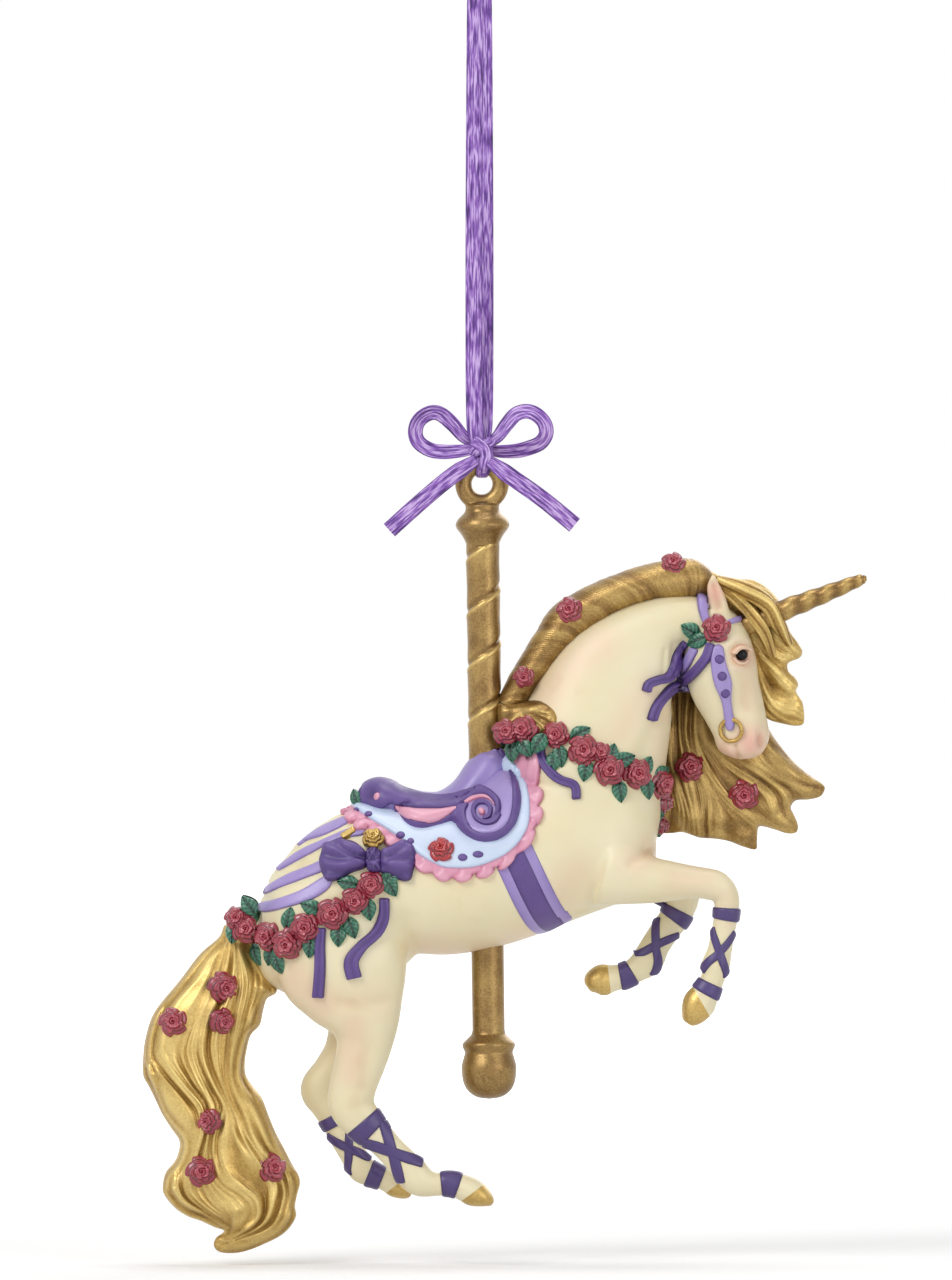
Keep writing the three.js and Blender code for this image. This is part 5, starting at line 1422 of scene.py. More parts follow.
def add_mass(heap, outline, stations, guides, locks, depth, rim, seed, pitch=0.36):
    """Hair in a side-view outline, carved on both faces. Its depth follows the stations."""
    depth_at = filled_out(stations)
    edge = smooth_line(outline, 8 * len(outline), closed=True)
    spots, faces = filled(edge, EDGE_ROWS, pitch)
    distance, _ = rim_distance(spots, edge)
    gap = np.linalg.norm(spots[:, None] - depth_at[None, :, :2], axis=-1)
    weight = 1 / np.maximum(gap, STATION_REACH) ** 3
    weight = weight / weight.sum(1, keepdims=True)
    middle, half = weight @ depth_at[:, 4], weight @ depth_at[:, 3]
    crown = rounded(distance / rim)
    height, line = carved(*flow(spots, guides), locks, pitch, seed)
    rim_point = distance < ON_RIM
    turn = (1 - crown) * half
    strand = np.sin(2 * math.pi * turn / RIM_STRAND + 1.5 * np.sin(0.35 * (spots[:, 0] - spots[:, 1])))
    ridge = RIM_DEPTH * strand * np.clip(turn, 0, 1)
    rise = np.where(rim_point, 0, np.maximum(half * crown + depth * height * crown + ridge, HAIR_DEPTH))
    near = np.stack([spots[:, 0], middle - rise, spots[:, 1]], axis=1)
    far = np.stack([spots[:, 0], middle + rise, spots[:, 1]], axis=1)[~rim_point]
    order = np.where(rim_point, np.arange(len(spots)), len(spots) + np.cumsum(~rim_point) - 1)
    near_faces = faced(near, faces, np.tile([0.0, -1.0, 0.0], (len(spots), 1)))
    far_faces = [[int(order[i]) for i in face[::-1]] for face in near_faces]
    # Painted shade in the carved grooves and a painted highlight on the strands, the rim's strands too.
    relief = 0.5 + 0.5 * height * np.maximum(crown, 0.4) + RIM_SHADE * strand * np.clip(turn, 0, 1)
    comb = HAIRS * line + RIM_HAIRS * turn
    heap.add(np.vstack([near, far]), near_faces + far_faces, np.concatenate([relief, relief[~rim_point]]),
             np.concatenate([comb, comb[~rim_point]]))


CREST_GRID = (420, 64)
CREST_RUN = 30                   # millimetres or so along the crest
CREST_SLANT = 1.6                # how far back the hair is combed on its way over the top
CREST_DEPTHS = (0.013, 0.009, 0.004)
CREST_SHADE = 0.11
CREST_HAIRS = 4                  # fine hairs to a millimetre


def crest_run(share, angle):
    """Place along the crest of the hair that passes a point: the hair is combed back over the top."""
    return CREST_RUN * share + CREST_SLANT * np.cos(angle - 0.6) + 0.35 * np.sin(11 * share)


def crest_wave(share, angle):
    """Fine strands combed up and over the crest, with a few broad locks."""
    run = crest_run(share, angle)
    broad = np.cos(2 * math.pi * 0.23 * run + 1.4 * np.sin(1.3 * run))
    middle = np.cos(2 * math.pi * (0.67 * run + 0.3 * np.sin(1.7 * run)))
    ease = 0.55 + 0.45 * np.sin(0.71 * run + 1.0)
    fine = np.cos(2 * math.pi * (1.7 * run + 0.3 * np.sin(2.9 * run)))
    return CREST_DEPTHS[0] * broad + CREST_DEPTHS[1] * middle * ease + CREST_DEPTHS[2] * fine


# Hair outlines and guide lines, from the photograph. The far side of the fall is hidden there and is guessed.
FALL_TOP = [
    (8.8, -28), (12.6, -22.8), (17, -19.4), (22.6, -17.1), (29.4, -16.2), (34.4, -17.8), (36.6, -23),
    (38, -28.6), (42, -34), (45.6, -38.6),
]
FALL_SEEN = on_photo(
    (776, 739), (790, 757), (801, 768), (814, 778), (824, 785), (825.6, 790), (821, 797), (810, 800),
    (797, 801), (792, 808), (795, 815), (799, 826), (797, 833), (788, 834), (775, 830), (763, 827),
    (759, 829), (758, 841), (756.5, 850), (743, 847), (730, 842), (716, 839.5), (701, 838.5), (693, 836),
    (683, 833), (672, 834), (662, 832))
FALL_HIDDEN = [
    (26.4, -52.6), (24.4, -48), (22.6, -48.6), (20.4, -46), (18.6, -42), (16, -42.4), (13.4, -39),
    (11.2, -34),
]
FALL_OUTLINE = FALL_TOP + FALL_SEEN + FALL_HIDDEN
FALL_GUIDES = [
    [(10.6, -25.6), (12, -29), (12.4, -33), (14, -38), (15.6, -42)],
    [(15.4, -20.6), (17, -25), (18, -31), (20, -40), (22.4, -48)],
    [(21.8, -17.4), (23, -22), (23.6, -29), (25.4, -40), (27.4, -52)],
    [(26.2, -16.6), (27.2, -21), (28, -30)] + on_photo((668, 724), (666, 764), (665, 805), (664, 830)),
    [(29, -16.3), (29.8, -21), (30.4, -29)] + on_photo((674, 734), (676, 771), (684, 803), (691, 836)),
    [(31, -16.8), (31.8, -21), (32.4, -29)] + on_photo((682, 736), (693, 775), (707, 803), (711, 838)),
    [(32.6, -17.3), (33.3, -21.6), (34, -29)]
    + on_photo((693, 734), (707, 771), (723, 801), (738, 822), (756, 848)),
    [(33.8, -17.7), (34.4, -22), (35.2, -29)]
    + on_photo((701, 730), (715, 760), (736, 791), (760, 813), (776, 826), (795, 832)),
    [(34.8, -21.6), (36.2, -29)]
    + on_photo((709, 724), (723, 752), (748, 775), (772, 793), (784, 809), (797, 826)),
    [(35.6, -23), (37.2, -30)] + on_photo((721, 736), (740, 754), (764, 771), (789, 787), (801, 799)),
    [(36, -24), (38.4, -31)]
    + on_photo((744, 720), (756, 736), (766, 752), (782, 769), (805, 783), (823, 791)),
    [(36.6, -25), (40, -32)]
    + on_photo((764, 722), (770, 734), (778, 750), (795, 764), (811, 775), (824, 783)),
]
CURL_OUTLINE = on_photo(
    (498, 704), (510, 704), (523, 702), (537, 699.5), (549, 702), (557.6, 710), (562, 720), (561, 731),
    (546, 737), (520, 740), (503, 738), (498, 724))
CURL_GUIDES = [
    on_photo((498, 707), (515, 703), (537, 701), (551, 706), (559, 716), (561, 730)),
    on_photo((498, 715), (515, 709), (532, 708), (545, 714), (552, 724), (553, 734)),
    on_photo((499, 724), (514, 717), (527, 717), (537, 724), (542, 736)),
    on_photo((499, 734), (511, 727), (521, 728), (529, 738)),
]
FORELOCK_OUTLINE = on_photo(
    (694, 568), (708, 570), (722, 576), (740, 579), (753, 580), (765, 586), (774, 594), (780, 603),
    (785, 623), (800, 645), (803, 652), (800, 658), (789, 663), (789, 671), (796, 678), (799, 685),
    (797, 692), (803, 702), (805, 714), (804, 724), (796, 726), (784, 724), (770, 720), (762, 712),
    (756, 690), (750, 668), (744, 645), (734, 626), (720, 606), (706, 594), (697, 580))
FORELOCK_GUIDES = [
    on_photo((703, 567), (723, 577), (748, 581), (768, 591), (780, 605), (791, 628), (802, 648)),
    on_photo((705, 571), (723, 583), (744, 593), (762, 607), (774, 628), (787, 648), (799, 656)),
    on_photo((707, 575), (723, 589), (742, 605), (756, 626), (768, 648), (782, 660), (789, 662)),
    on_photo((711, 579), (727, 599), (742, 618), (752, 638), (762, 660), (778, 675), (798, 687)),
    on_photo(
        (715, 583), (731, 607), (744, 628), (752, 648), (760, 671), (772, 691), (795, 701), (804, 709)),
    on_photo(
        (719, 587), (733, 611), (746, 634), (753, 654), (760, 681), (768, 701), (780, 713), (801, 724)),
    on_photo(
        (721, 591), (736, 618), (748, 642), (754, 662), (761, 691), (766, 709), (774, 718), (789, 725)),
]
HORN_LOCKS = [
    [(37.5, -15.6, 1.0, 1.2, -1.2), (42, -17.0, 1.3, 1.3, -1.6), (45.5, -19.2, 1.3, 1.2, -1.7),
     (47.4, -22.4, 1.2, 1.1, -0.6), (49.2, -25.6, 0.6, 0.7, 1.8)],
    [(38.4, -17.2, 0.9, 1.1, -1.0), (42.4, -20, 1.1, 1.2, -1.6), (44.8, -23.4, 1.1, 1.1, -1.0),
     (46.6, -27.5, 0.6, 0.7, 1.8)],
]
TAIL_OUTLINE = on_photo(
    (225, 925), (219, 937), (200, 954), (180, 980), (160, 1004), (151, 1019), (145, 1040), (143, 1057),
    (143, 1075), (149, 1087), (155, 1099), (162, 1114), (171, 1128), (179, 1140), (179, 1150),
    (175, 1161), (166, 1172), (163, 1184), (164, 1194), (174, 1207), (187, 1216), (201, 1221),
    (214, 1227), (224, 1231), (216, 1238), (214, 1246), (220, 1252), (235, 1253), (249, 1250),
    (264, 1244), (280, 1236), (290, 1227), (296, 1216), (295, 1206), (297, 1195), (300, 1183),
    (298, 1174), (292, 1164), (284, 1148), (276, 1133), (269, 1116), (262, 1098), (253, 1086),
    (246, 1075), (245, 1063), (247, 1049), (251, 1035), (260, 1025), (263, 1012), (267, 999), (277, 990),
    (263, 965), (254, 942), (238, 925))
TAIL_GUIDES = [
    on_photo(
        (220, 934), (190, 969), (160, 999), (144, 1047), (146, 1074), (160, 1107), (176, 1132),
        (179, 1152), (167, 1173), (164, 1191), (183, 1210), (206, 1221), (224, 1230)),
    on_photo(
        (223, 938), (199, 976), (171, 1008), (155, 1047), (164, 1074), (185, 1107), (192, 1132),
        (190, 1155), (180, 1175), (185, 1196), (206, 1212), (229, 1226)),
    on_photo(
        (225, 940), (208, 980), (185, 1019), (174, 1051), (190, 1081), (206, 1104), (206, 1130),
        (199, 1157), (199, 1180), (213, 1198), (233, 1214), (231, 1233)),
    on_photo(
        (229, 941), (217, 983), (201, 1024), (197, 1056), (210, 1086), (222, 1107), (215, 1132),
        (215, 1157), (222, 1180), (240, 1196), (249, 1214), (229, 1237)),
    on_photo(
        (233, 942), (229, 983), (215, 1029), (215, 1061), (224, 1090), (231, 1111), (231, 1134),
        (236, 1157), (249, 1178), (263, 1196), (259, 1221), (226, 1242)),
    on_photo(
        (238, 944), (240, 980), (229, 1029), (226, 1061), (229, 1090), (240, 1113), (249, 1136),
        (261, 1157), (275, 1178), (279, 1198), (268, 1226), (224, 1245)),
    on_photo(
        (245, 946), (254, 980), (242, 1024), (233, 1061), (236, 1088), (249, 1113), (263, 1139),
        (279, 1162), (288, 1182), (288, 1203), (272, 1233), (222, 1249)),
    on_photo(
        (252, 953), (268, 985), (256, 1022), (245, 1058), (247, 1081), (261, 1104), (275, 1134),
        (291, 1162), (299, 1182), (295, 1217), (272, 1242), (220, 1252)),
]


def horn_twist(share, angle):
    """The horn's spiral ridge."""
    return HORN_RIDGE * np.cos(angle - 2 * math.pi * HORN_TURNS * share)


def add_hair():
    """Crest, fall, forelock, tail and horn."""
    rings, sides = CREST_GRID
    points, wave = loft(CREST, rings, sides, crest_wave)
    comb = CREST_HAIRS * crest_run(np.linspace(0, 1, rings)[:, None], full_turn(sides)[None])
    crest = Heap().tube(points, 0.5 + wave / CREST_SHADE, comb)
    add_mass(crest, CURL_OUTLINE, WITHERS_CURL, CURL_GUIDES, locks=0.7, depth=0.7, rim=1.8, seed=3,
             pitch=0.25)
    piece("crest_hair", crest, GOLD, ["mane_crest"])
    fall = Heap()
    add_mass(fall, FALL_OUTLINE, sum(MANE_FALL, []), FALL_GUIDES, locks=1.0, depth=0.55, rim=1.8, seed=11,
             pitch=0.25)
    piece("fall_hair", fall, GOLD, ["mane_fall"])
    forelock = Heap()
    add_mass(forelock, FORELOCK_OUTLINE, sum(FORELOCK, []), FORELOCK_GUIDES, locks=0.8, depth=0.5, rim=1.6,
             seed=31, pitch=0.22)
    for i, stations in enumerate(HORN_LOCKS):
        add_lock(forelock, stations, seed=HORN_LOCK_SEED + i, count=4, depth=0.1)
    # The forelock takes the lighter gold as a painted highlight, for the glints on it.
    piece("forelock_hair", forelock, BRIGHT_GOLD, ["forelock"])
    tail = Heap()
    add_mass(tail, TAIL_OUTLINE, TAIL + TAIL_CURL, TAIL_GUIDES, locks=1.0, depth=0.85, rim=4.0, seed=51,
             pitch=0.18)
    piece("tail_hair", tail, BRIGHT_GOLD, ["tail"])
    horn, wave = loft(HORN, rings=260, sides=48, ridge=horn_twist)
    relief = 0.5 + HORN_SHADE * wave / HORN_RIDGE
    piece("horn_cast", Heap().tube(horn, relief), GOLD, ["horn"])
    return {"crest": crest, "fall": fall, "tail": tail}


hair = add_hair()

# Saddlery outlines, from the photograph
BLANKET = on_photo(
    (346, 805), (355, 812), (366, 820), (384, 831), (403, 843), (420, 856.5), (435, 864), (448, 868),
    (474, 867), (495, 860), (509, 852), (521, 840), (529, 825), (531, 805), (529, 788), (524, 771),
    (514, 758), (502, 742))
FLAP = on_photo(
    (378, 800), (393, 806), (398, 819), (410, 829), (423, 832), (440, 829), (455, 826), (466, 836),
    (480, 842), (497, 840), (511, 830), (518, 817), (521, 799), (516, 778), (507, 761), (494, 742))
EDGE_POINTS = 90
CLOTH_STEP = 0.3
BORDER_WIDTH = 1.95
HEM = (0.44, 0.62)               # the border's least width and what a scallop adds, in border widths
SCALLOPS = 17
GATHER_REACH = 1.8               # how far in from the hem the gathers reach
GATHER_FLAT = 0.8


def over_back(near_edge):
    """A closed map outline that goes down both sides of the trunk from the spine."""
    near = trunk.unroll(near_edge, NEAR)
    far = trunk.unroll(near_edge, FAR)
    return np.vstack([[(near[0][0], 0.0)], near, [(near[-1][0], 0.0)], far[::-1]])


def dense(outline, step=0.5):
    """A closed outline with points no further apart than a step."""
    made = []
    for here, ahead in zip(outline, np.roll(outline, -1, axis=0)):
        count = max(1, int(np.linalg.norm(ahead - here) / step))
        made += [here + (ahead - here) * i / count for i in range(count)]
    return np.array(made)


def edge_line(near_edge):
    """A smooth near edge through the given places."""
    return [tuple(p) for p in smooth_line(near_edge, EDGE_POINTS)]


def add_blanket():
    """Pale blanket with a scalloped, gathered border that shows below it."""
    cloth = dense(over_back(edge_line(BLANKET)), CLOTH_STEP)
    steps = np.linalg.norm(np.roll(cloth, -1, axis=0) - cloth, axis=1)
    run = np.concatenate([[0], np.cumsum(steps)])[:-1]
    wave = np.abs(np.sin(math.pi * 2 * SCALLOPS * run / steps.sum()))
    way = unit(np.roll(cloth, -1, axis=0) - np.roll(cloth, 1, axis=0))
    turned = np.sum(cloth[:, 0] * np.roll(cloth[:, 1], -1) - np.roll(cloth[:, 0], -1) * cloth[:, 1]) > 0
    outward = np.stack([way[:, 1], -way[:, 0]], axis=1) * (1 if turned else -1)
    hem = cloth + outward * (BORDER_WIDTH * (HEM[0] + HEM[1] * np.sqrt(wave)))[:, None]

    def gather(spots, distance, nearest):
        return np.where(distance < GATHER_REACH, 0.5 + 0.5 * np.sqrt(wave[nearest]), GATHER_FLAT)

    border = Heap().add(*patch(hem, trunk, thickness=1.0, rim=0.35, lift=0.1, pitch=0.4, carve=gather))
    piece("border_ruffle", border, PINK, ["blanket_border"])
    blanket = Heap().add(*patch(cloth, trunk, thickness=0.75, rim=0.5, lift=0.75))
    piece("blanket_cloth", blanket, PALE_BLUE, ["saddle_blanket"])
    return blanket


blanket = add_blanket()
cloth_face = Carrier(*blanket.arrays()[:2])

SEAT = [
    (-19, -50, 1.2, 3.4), (-16.6, -50, 2.5, 5.8), (-12.4, -51.6, 2.9, 6.6), (-7, -52, 2.8, 6.4),
    (-3.2, -50.2, 2.9, 5.8), (0.1, -47.3, 3.7, 5.2), (1.9, -44.3, 3.2, 4.2), (2.6, -42.6, 1.9, 2.4),
]


def add_saddle():
    """Seat and flaps, lilac."""
    flaps = dense(over_back(edge_line(FLAP)))
    heap = Heap().add(*patch(flaps, trunk, thickness=1.25, rim=0.7, lift=1.5))
    seat, _ = loft(SEAT, rings=60, sides=56)
    heap.tube(seat)
    piece("saddle_seat", heap, LILAC, ["saddle"])
    return heap


saddle_heap = add_saddle()
saddle_face = Carrier(*saddle_heap.arrays()[:2])

# Saddle carving, from the photograph: outlines, paths and widths
BAR = on_photo(
    (365, 783), (377.8, 779.5), (390.6, 782), (403.3, 788.5), (419.3, 793.3), (438.4, 795.7),
    (454.3, 793.3), (467.1, 788.5), (478.2, 785.4), (489.4, 788.5), (499, 796.5), (501.4, 806),
    (499, 814), (494.2, 818), (495.8, 812), (494.2, 803.5), (486.2, 796), (473.5, 797.5), (463.9, 803.5),
    (457.5, 807.5), (441.6, 809), (419.3, 809), (397, 805), (391, 803.5), (384.2, 807), (373, 808),
    (364, 803), (360.3, 794.5))
LOWER_BAND = on_photo(
    (394, 805), (398.5, 818.8), (409.7, 830), (424, 832.4), (441.6, 830), (457.5, 824.4), (459.5, 812),
    (457.5, 808.5), (444.8, 815.6), (432, 820.6), (419.3, 819.8), (406.5, 816), (398.5, 809.5))
INSET = on_photo(
    (396, 804.5), (408, 807.5), (419.3, 808.6), (441.6, 808.6), (458, 805.5), (458, 809), (444.8, 816.4),
    (432, 821.4), (419.3, 820.6), (406.5, 817), (398, 810.5))
OUTER_BAND = on_photo(
    (456, 807), (457.5, 823.6), (462.3, 834.8), (473.5, 840.3), (483, 842), (499, 839.6), (510.1, 833.2),
    (519.7, 815.6), (522, 796.5), (519.7, 780.6), (513.3, 766.2), (503.8, 751.9), (497.4, 744.7),
    (494.5, 748), (504.5, 762), (510.2, 775.8), (512, 791.7), (511, 809.3), (506.2, 822), (497, 829.6),
    (483, 831.4), (473.5, 828), (467.5, 820), (466, 811), (468.7, 803.5), (462, 804))
SPIRAL = on_photo(
    (499, 811), (494, 819), (485, 821.5), (476.5, 817.5), (473.5, 809.5), (477.5, 802.5), (485.5, 802),
    (490.5, 807.5), (489, 815), (482.5, 818))
SPIRAL_WIDTHS = [1.1, 1.0, 0.8, 0.75, 0.75, 0.75, 0.7, 0.7, 0.65, 0.5]
PINK_ARC = on_photo((464.2, 803.5), (473.5, 797.8), (483, 795.6), (491, 798.6), (495.8, 805))
PINK_WIDTHS = [0.4, 0.6, 0.7, 0.6, 0.3]
VOLUTE_BUD = on_photo((482.2, 811.2))[0]
CANTLE_BUD = on_photo((379, 796.5))[0]
CANTLE_HOLLOW = on_photo((373.5, 793.5))[0]
BAR_CREASE = on_photo((398, 790), (420, 799), (440, 801), (458, 798), (470, 792))
BLANKET_DOTS = on_photo((401, 834), (411, 840), (462.7, 856), (478, 853), (356, 809.6), (369, 813.4))
BLANKET_DOT_SIZES = [(0.72, 0.56), (0.56, 0.48), (0.8, 0.62), (0.9, 0.56), (0.6, 0.42), (0.6, 0.42)]
CREASE_POINTS = 40
EYE_SINK = (0.75, 0.75)          # depth and width of the scroll's eye, and of the bar's crease
CREASE_SINK = (0.3, 0.45)


def hollowed(spots, distance, nearest):
    """Sinks the scroll's eye and the long crease of the bar."""
    eye = np.linalg.norm(spots - np.array(CANTLE_HOLLOW), axis=1)
    line = smooth_line(BAR_CREASE, CREASE_POINTS)
    crease = np.linalg.norm(spots[:, None] - line[None], axis=-1).min(1)
    return 1 - EYE_SINK[0] * bell(eye, EYE_SINK[1]) - CREASE_SINK[0] * bell(crease, CREASE_SINK[1])


# Dark bands of the saddle: outline, points round it, thickness, rim, carving
DARK_BANDS = [
    (BAR, 150, 0.75, 0.6, hollowed), (LOWER_BAND, 90, 0.5, 0.4, None), (OUTER_BAND, 150, 0.45, 0.35, None),
]


def add_saddle_carving():
    """Dark bars, scrolls and pink insets on both sides of the saddle."""
    for name, side in SIDES:
        face = SideView(saddle_face, side)
        dark = Heap()
        for outline, count, thickness, rim, carve in DARK_BANDS:
            dark.add(*smooth_patch(outline, count, face, thickness, rim, lift=0.1, pitch=0.4, carve=carve))
        dark.add(*band(SPIRAL, SPIRAL_WIDTHS, face, height=0.4, lift=0.1, rows=110))
        piece(f"saddle_scroll_{name}", dark, PURPLE)
        pink = Heap()
        pink.add(*smooth_patch(INSET, 80, face, thickness=0.3, rim=0.4, lift=0.15, pitch=0.35))
        pink.add(*band(PINK_ARC, PINK_WIDTHS, face, height=0.3, lift=0.15, rows=40))
        pink.add(*disc(VOLUTE_BUD, 0.55, face, height=0.6, lift=0.2))
        pink.add(*disc(CANTLE_BUD, 0.48, face, height=0.5, lift=0.45))
        piece(f"saddle_inlay_{name}", pink, PINK)
        dots = Heap()
        for spot, size in zip(BLANKET_DOTS, BLANKET_DOT_SIZES):
            dots.add(*disc(spot, size, SideView(cloth_face, side), height=0.3, lift=0.02))
        piece(f"blanket_dots_{name}", dots, PURPLE)


add_saddle_carving()

# Girth, rump straps and bow
GIRTH_TOP = on_photo((508, 842))[0]
GIRTH_FOOT = on_photo((552, 925))[0]
GIRTH_WIDTH = 5.6
GIRTH_STRIPE = 3.0
GIRTH_REACH = 0.86               # how far round the barrel each half goes
GIRTH_LEAN = 0.6                 # share of the lean that is left under the belly
RUMP_STRIPES = [
    on_photo(
        (348, 818.5), (341, 818), (317, 829.5), (299, 843.5), (300.5, 845), (308.5, 840), (325, 834.5),
        (348, 823)),
    on_photo(
        (362, 826), (350, 828), (332, 835.5), (302.7, 849), (288, 859), (277.5, 868), (280, 870),
        (294, 862.5), (317, 850), (327, 844.5), (343, 838), (364, 834)),
    on_photo(
        (328, 858), (306, 866.5), (288, 874), (273, 882.5), (263.5, 889.5), (265, 894), (282, 886.5),
        (303, 878.5), (330, 867)),
    on_photo(
        (332, 872), (303, 888.5), (281, 897), (262, 902.5), (255, 907.5), (266, 911.5), (291, 905.5),
        (314.5, 897.5), (331, 885.5)),
]
BOW_LEFT = on_photo(
    (324.7, 850.4), (329, 844.5), (343.7, 840.5), (356, 842.5), (367.2, 851), (368, 860), (366, 867),
    (352.5, 872), (343.7, 877), (330.5, 881), (324, 874), (321.3, 862))
BOW_RIGHT = on_photo(
    (380, 852), (388, 847.5), (396, 843.5), (405.4, 842), (414.2, 846), (417.3, 856.3), (414.5, 868),
    (411.2, 878.5), (402.4, 880), (389.2, 874), (380, 869.5))
BOW_KNOT = on_photo(
    (367, 850), (374, 848.5), (380.4, 850), (382.6, 859), (381.5, 870), (374, 872), (369, 870),
    (365.7, 861))
BOW_PARTS = [(BOW_LEFT, 70, 2.1, 1.1), (BOW_RIGHT, 70, 2.1, 1.1), (BOW_KNOT, 40, 2.3, 0.9)]
BOW_PITS = on_photo((341, 874), (404, 874.5), (368, 858))
BOW_MIDDLE = on_photo((374, 861))[0]
ROSETTE = on_photo((374, 841))[0]
RUMP_SLIVER = on_photo((356, 830), (343, 838))
FOLD_LEVEL = 0.82
FOLD_WAVES = ((0.15, 8, 0.5), (0.1, 19, -0.7))      # height, number round the knot, slant
PIT_SIZE = np.array([1.7, 0.6])
PIT_DEPTH = 0.45


def folds(spots, distance, nearest):
    """Soft folds that run out from the knot, and the hollow ends of the loops."""
    offset = spots - np.array(BOW_MIDDLE)
    turn = np.arctan2(offset[:, 1], np.abs(offset[:, 0]))
    reach = np.linalg.norm(offset, axis=1)
    share = np.full(len(spots), FOLD_LEVEL)
    for height, count, slant in FOLD_WAVES:
        share = share + height * np.cos(count * turn + slant * reach)
    for pit in BOW_PITS:
        gap = (spots - np.array(pit)) / PIT_SIZE
        share = share - PIT_DEPTH * np.exp(-((gap**2).sum(1)))
    return share


def add_girth():
    """One strap round the barrel with a dark middle."""
    foot = GIRTH_REACH * math.pi * Wrap.RADIUS
    straps = Heap()
    stripes = Heap()
    for side in (NEAR, FAR):
        top = trunk.unroll([GIRTH_TOP], side)[0]
        low = trunk.unroll([GIRTH_FOOT], side)[0]
        lean = (low[0] - top[0]) / abs(low[1] - top[1])
        end = (low[0] + lean * (foot - abs(low[1])) * GIRTH_LEAN, side * foot)
        straps.add(*band([top, low, end], GIRTH_WIDTH, trunk, height=0.3, columns=21))
        stripes.add(*band([top, low, end], GIRTH_STRIPE, trunk, height=0.15, lift=0.24, columns=13))
    piece("girth_strap", straps, LILAC, ["girth"])
    piece("girth_stripe", stripes, PURPLE)


def add_rump():
    """Fanned stripes and bow on each side of the rump."""
    for name, side in SIDES:
        stripes = Heap()
        for outline in RUMP_STRIPES:
            stripes.add(*smooth_patch(outline, 90, sight[side], thickness=0.4, rim=0.3, lift=0.05, pitch=0.4))
        piece(f"rump_stripes_{name}", stripes, LILAC, [f"rump_straps_{name}"])
        bow = Heap()
        for outline, count, thickness, rim in BOW_PARTS:
            bow.add(*smooth_patch(outline, count, sight[side], thickness, rim, lift=0.1, pitch=0.3,
                                  carve=folds))
        piece(f"rump_bow_ribbon_{name}", bow, PURPLE, [f"rump_bow_{name}"])


add_girth()
add_rump()


# Flowers
ROSE_TIERS = ((4, 0.78, 0.24, 0.22), (3, 0.5, 0.22, 0.24))     # petals, reach, drop of the edge, height
ROSE_GRID = (44, 72)
ROSE_TIP = 0.02
OUTER_PETALS = 5
OUTER_REACH = (0.8, 0.26)        # where a petal is tucked in, and what its sweep adds
TUCK = 0.86                      # share of the sweep before a petal goes under the next
ROSE_CUP = 0.3
SOFT_EDGE = 0.02
LIP = (0.05, 0.06, 0.06)         # distance inside of a petal's edge, width, height
CREASE = (0.025, 0.035)          # distance outside of it, width
HEART_REACH = 0.3
HEART_STEP = 0.2                 # distance between two turns of the heart
HEART_GROOVE = (0.1, 0.3)        # depth, width
SKIRT = np.array([0.94, 0.94, 0.0])
SKIRT_DROP = 0.35
SKIRT_SHADE = 0.3
LEAF_GRID = (22, 15)
LEAF_HALF = 0.36                 # sizes of a leaf in leaf lengths
LEAF_RISE = 0.16
LEAF_SINK = 0.12
MIDRIB_DEPTH = 0.09
MIDRIB_WIDTH = 0.14
VEIN_HEIGHT = 0.018
VEINS = (5, 1.2)                 # number along the leaf, slant


def petal_swing(petals, angle):
    """Share of each petal's sweep from where it is tucked in to its free edge."""
    share = np.mod(petals * angle / (2 * math.pi), 1)
    return np.where(share < TUCK, share / TUCK, (1 - share) / (1 - TUCK))


def soft_step(offset):
    """1 before a place and 0 after it, with a soft change."""
    return 1 / (1 + np.exp(offset / SOFT_EDGE))


def rose_shape(radius, seed):
    """A carved rose made round +Z: tiers of petals that overlap, and a wound heart."""
    chance = np.random.default_rng(seed)
    reach = np.linspace(ROSE_TIP, 1, ROSE_GRID[0])[:, None]
    angle = full_turn(ROSE_GRID[1])[None]
    sweep = petal_swing(OUTER_PETALS, angle + chance.uniform(0, 6))
    spread = radius * reach * (OUTER_REACH[0] + OUTER_REACH[1] * np.sqrt(sweep))
    height = ROSE_CUP * np.sqrt(np.clip(1.02 - reach**5, 0, 1)) * np.ones_like(angle)
    crease = np.zeros(ROSE_GRID)
    for petals, size, drop, level in ROSE_TIERS:
        sweep = petal_swing(petals, angle + chance.uniform(0, 6))
        edge = reach - size * (1 - drop + drop * np.sqrt(sweep)) * chance.uniform(0.95, 1.05)
        height = height + soft_step(edge) * level * (0.7 + 0.3 * sweep) + LIP[2] * bell(edge + LIP[0], LIP[1])
        crease = crease + bell(edge - CREASE[0], CREASE[1])
    winding = np.abs(np.mod(angle / (2 * math.pi) + reach / HEART_STEP, 1) - 0.5) * 2
    groove = soft_step(reach - HEART_REACH) * bell(winding - 1, HEART_GROOVE[1])
    height = height - HEART_GROOVE[0] * groove
    points = np.stack([spread * np.cos(angle), spread * np.sin(angle), radius * height], axis=-1)
    skirt = points[-1:] * SKIRT + np.array([0, 0, -SKIRT_DROP * radius])
    # Painted shade in the creases between petals, in the heart's groove and on the skirt below, a painted
    # highlight on the higher petals.
    relief = np.clip(0.52 - 0.5 * np.minimum(crease + 0.8 * groove, 1) + 0.5 * (height - 0.5), 0, 1)
    return np.concatenate([points, skirt]), np.concatenate([relief, relief[-1:] * SKIRT_SHADE])


def add_rose(heap, radius, place, normal, seed, lift=0.0):
    """Sets one rose on a place."""
    points, relief = rose_shape(radius, seed)
    direction = np.asarray(normal) / np.linalg.norm(normal)
    heap.tube(standing(points, place + direction * lift, direction, seed * 1.7), relief)


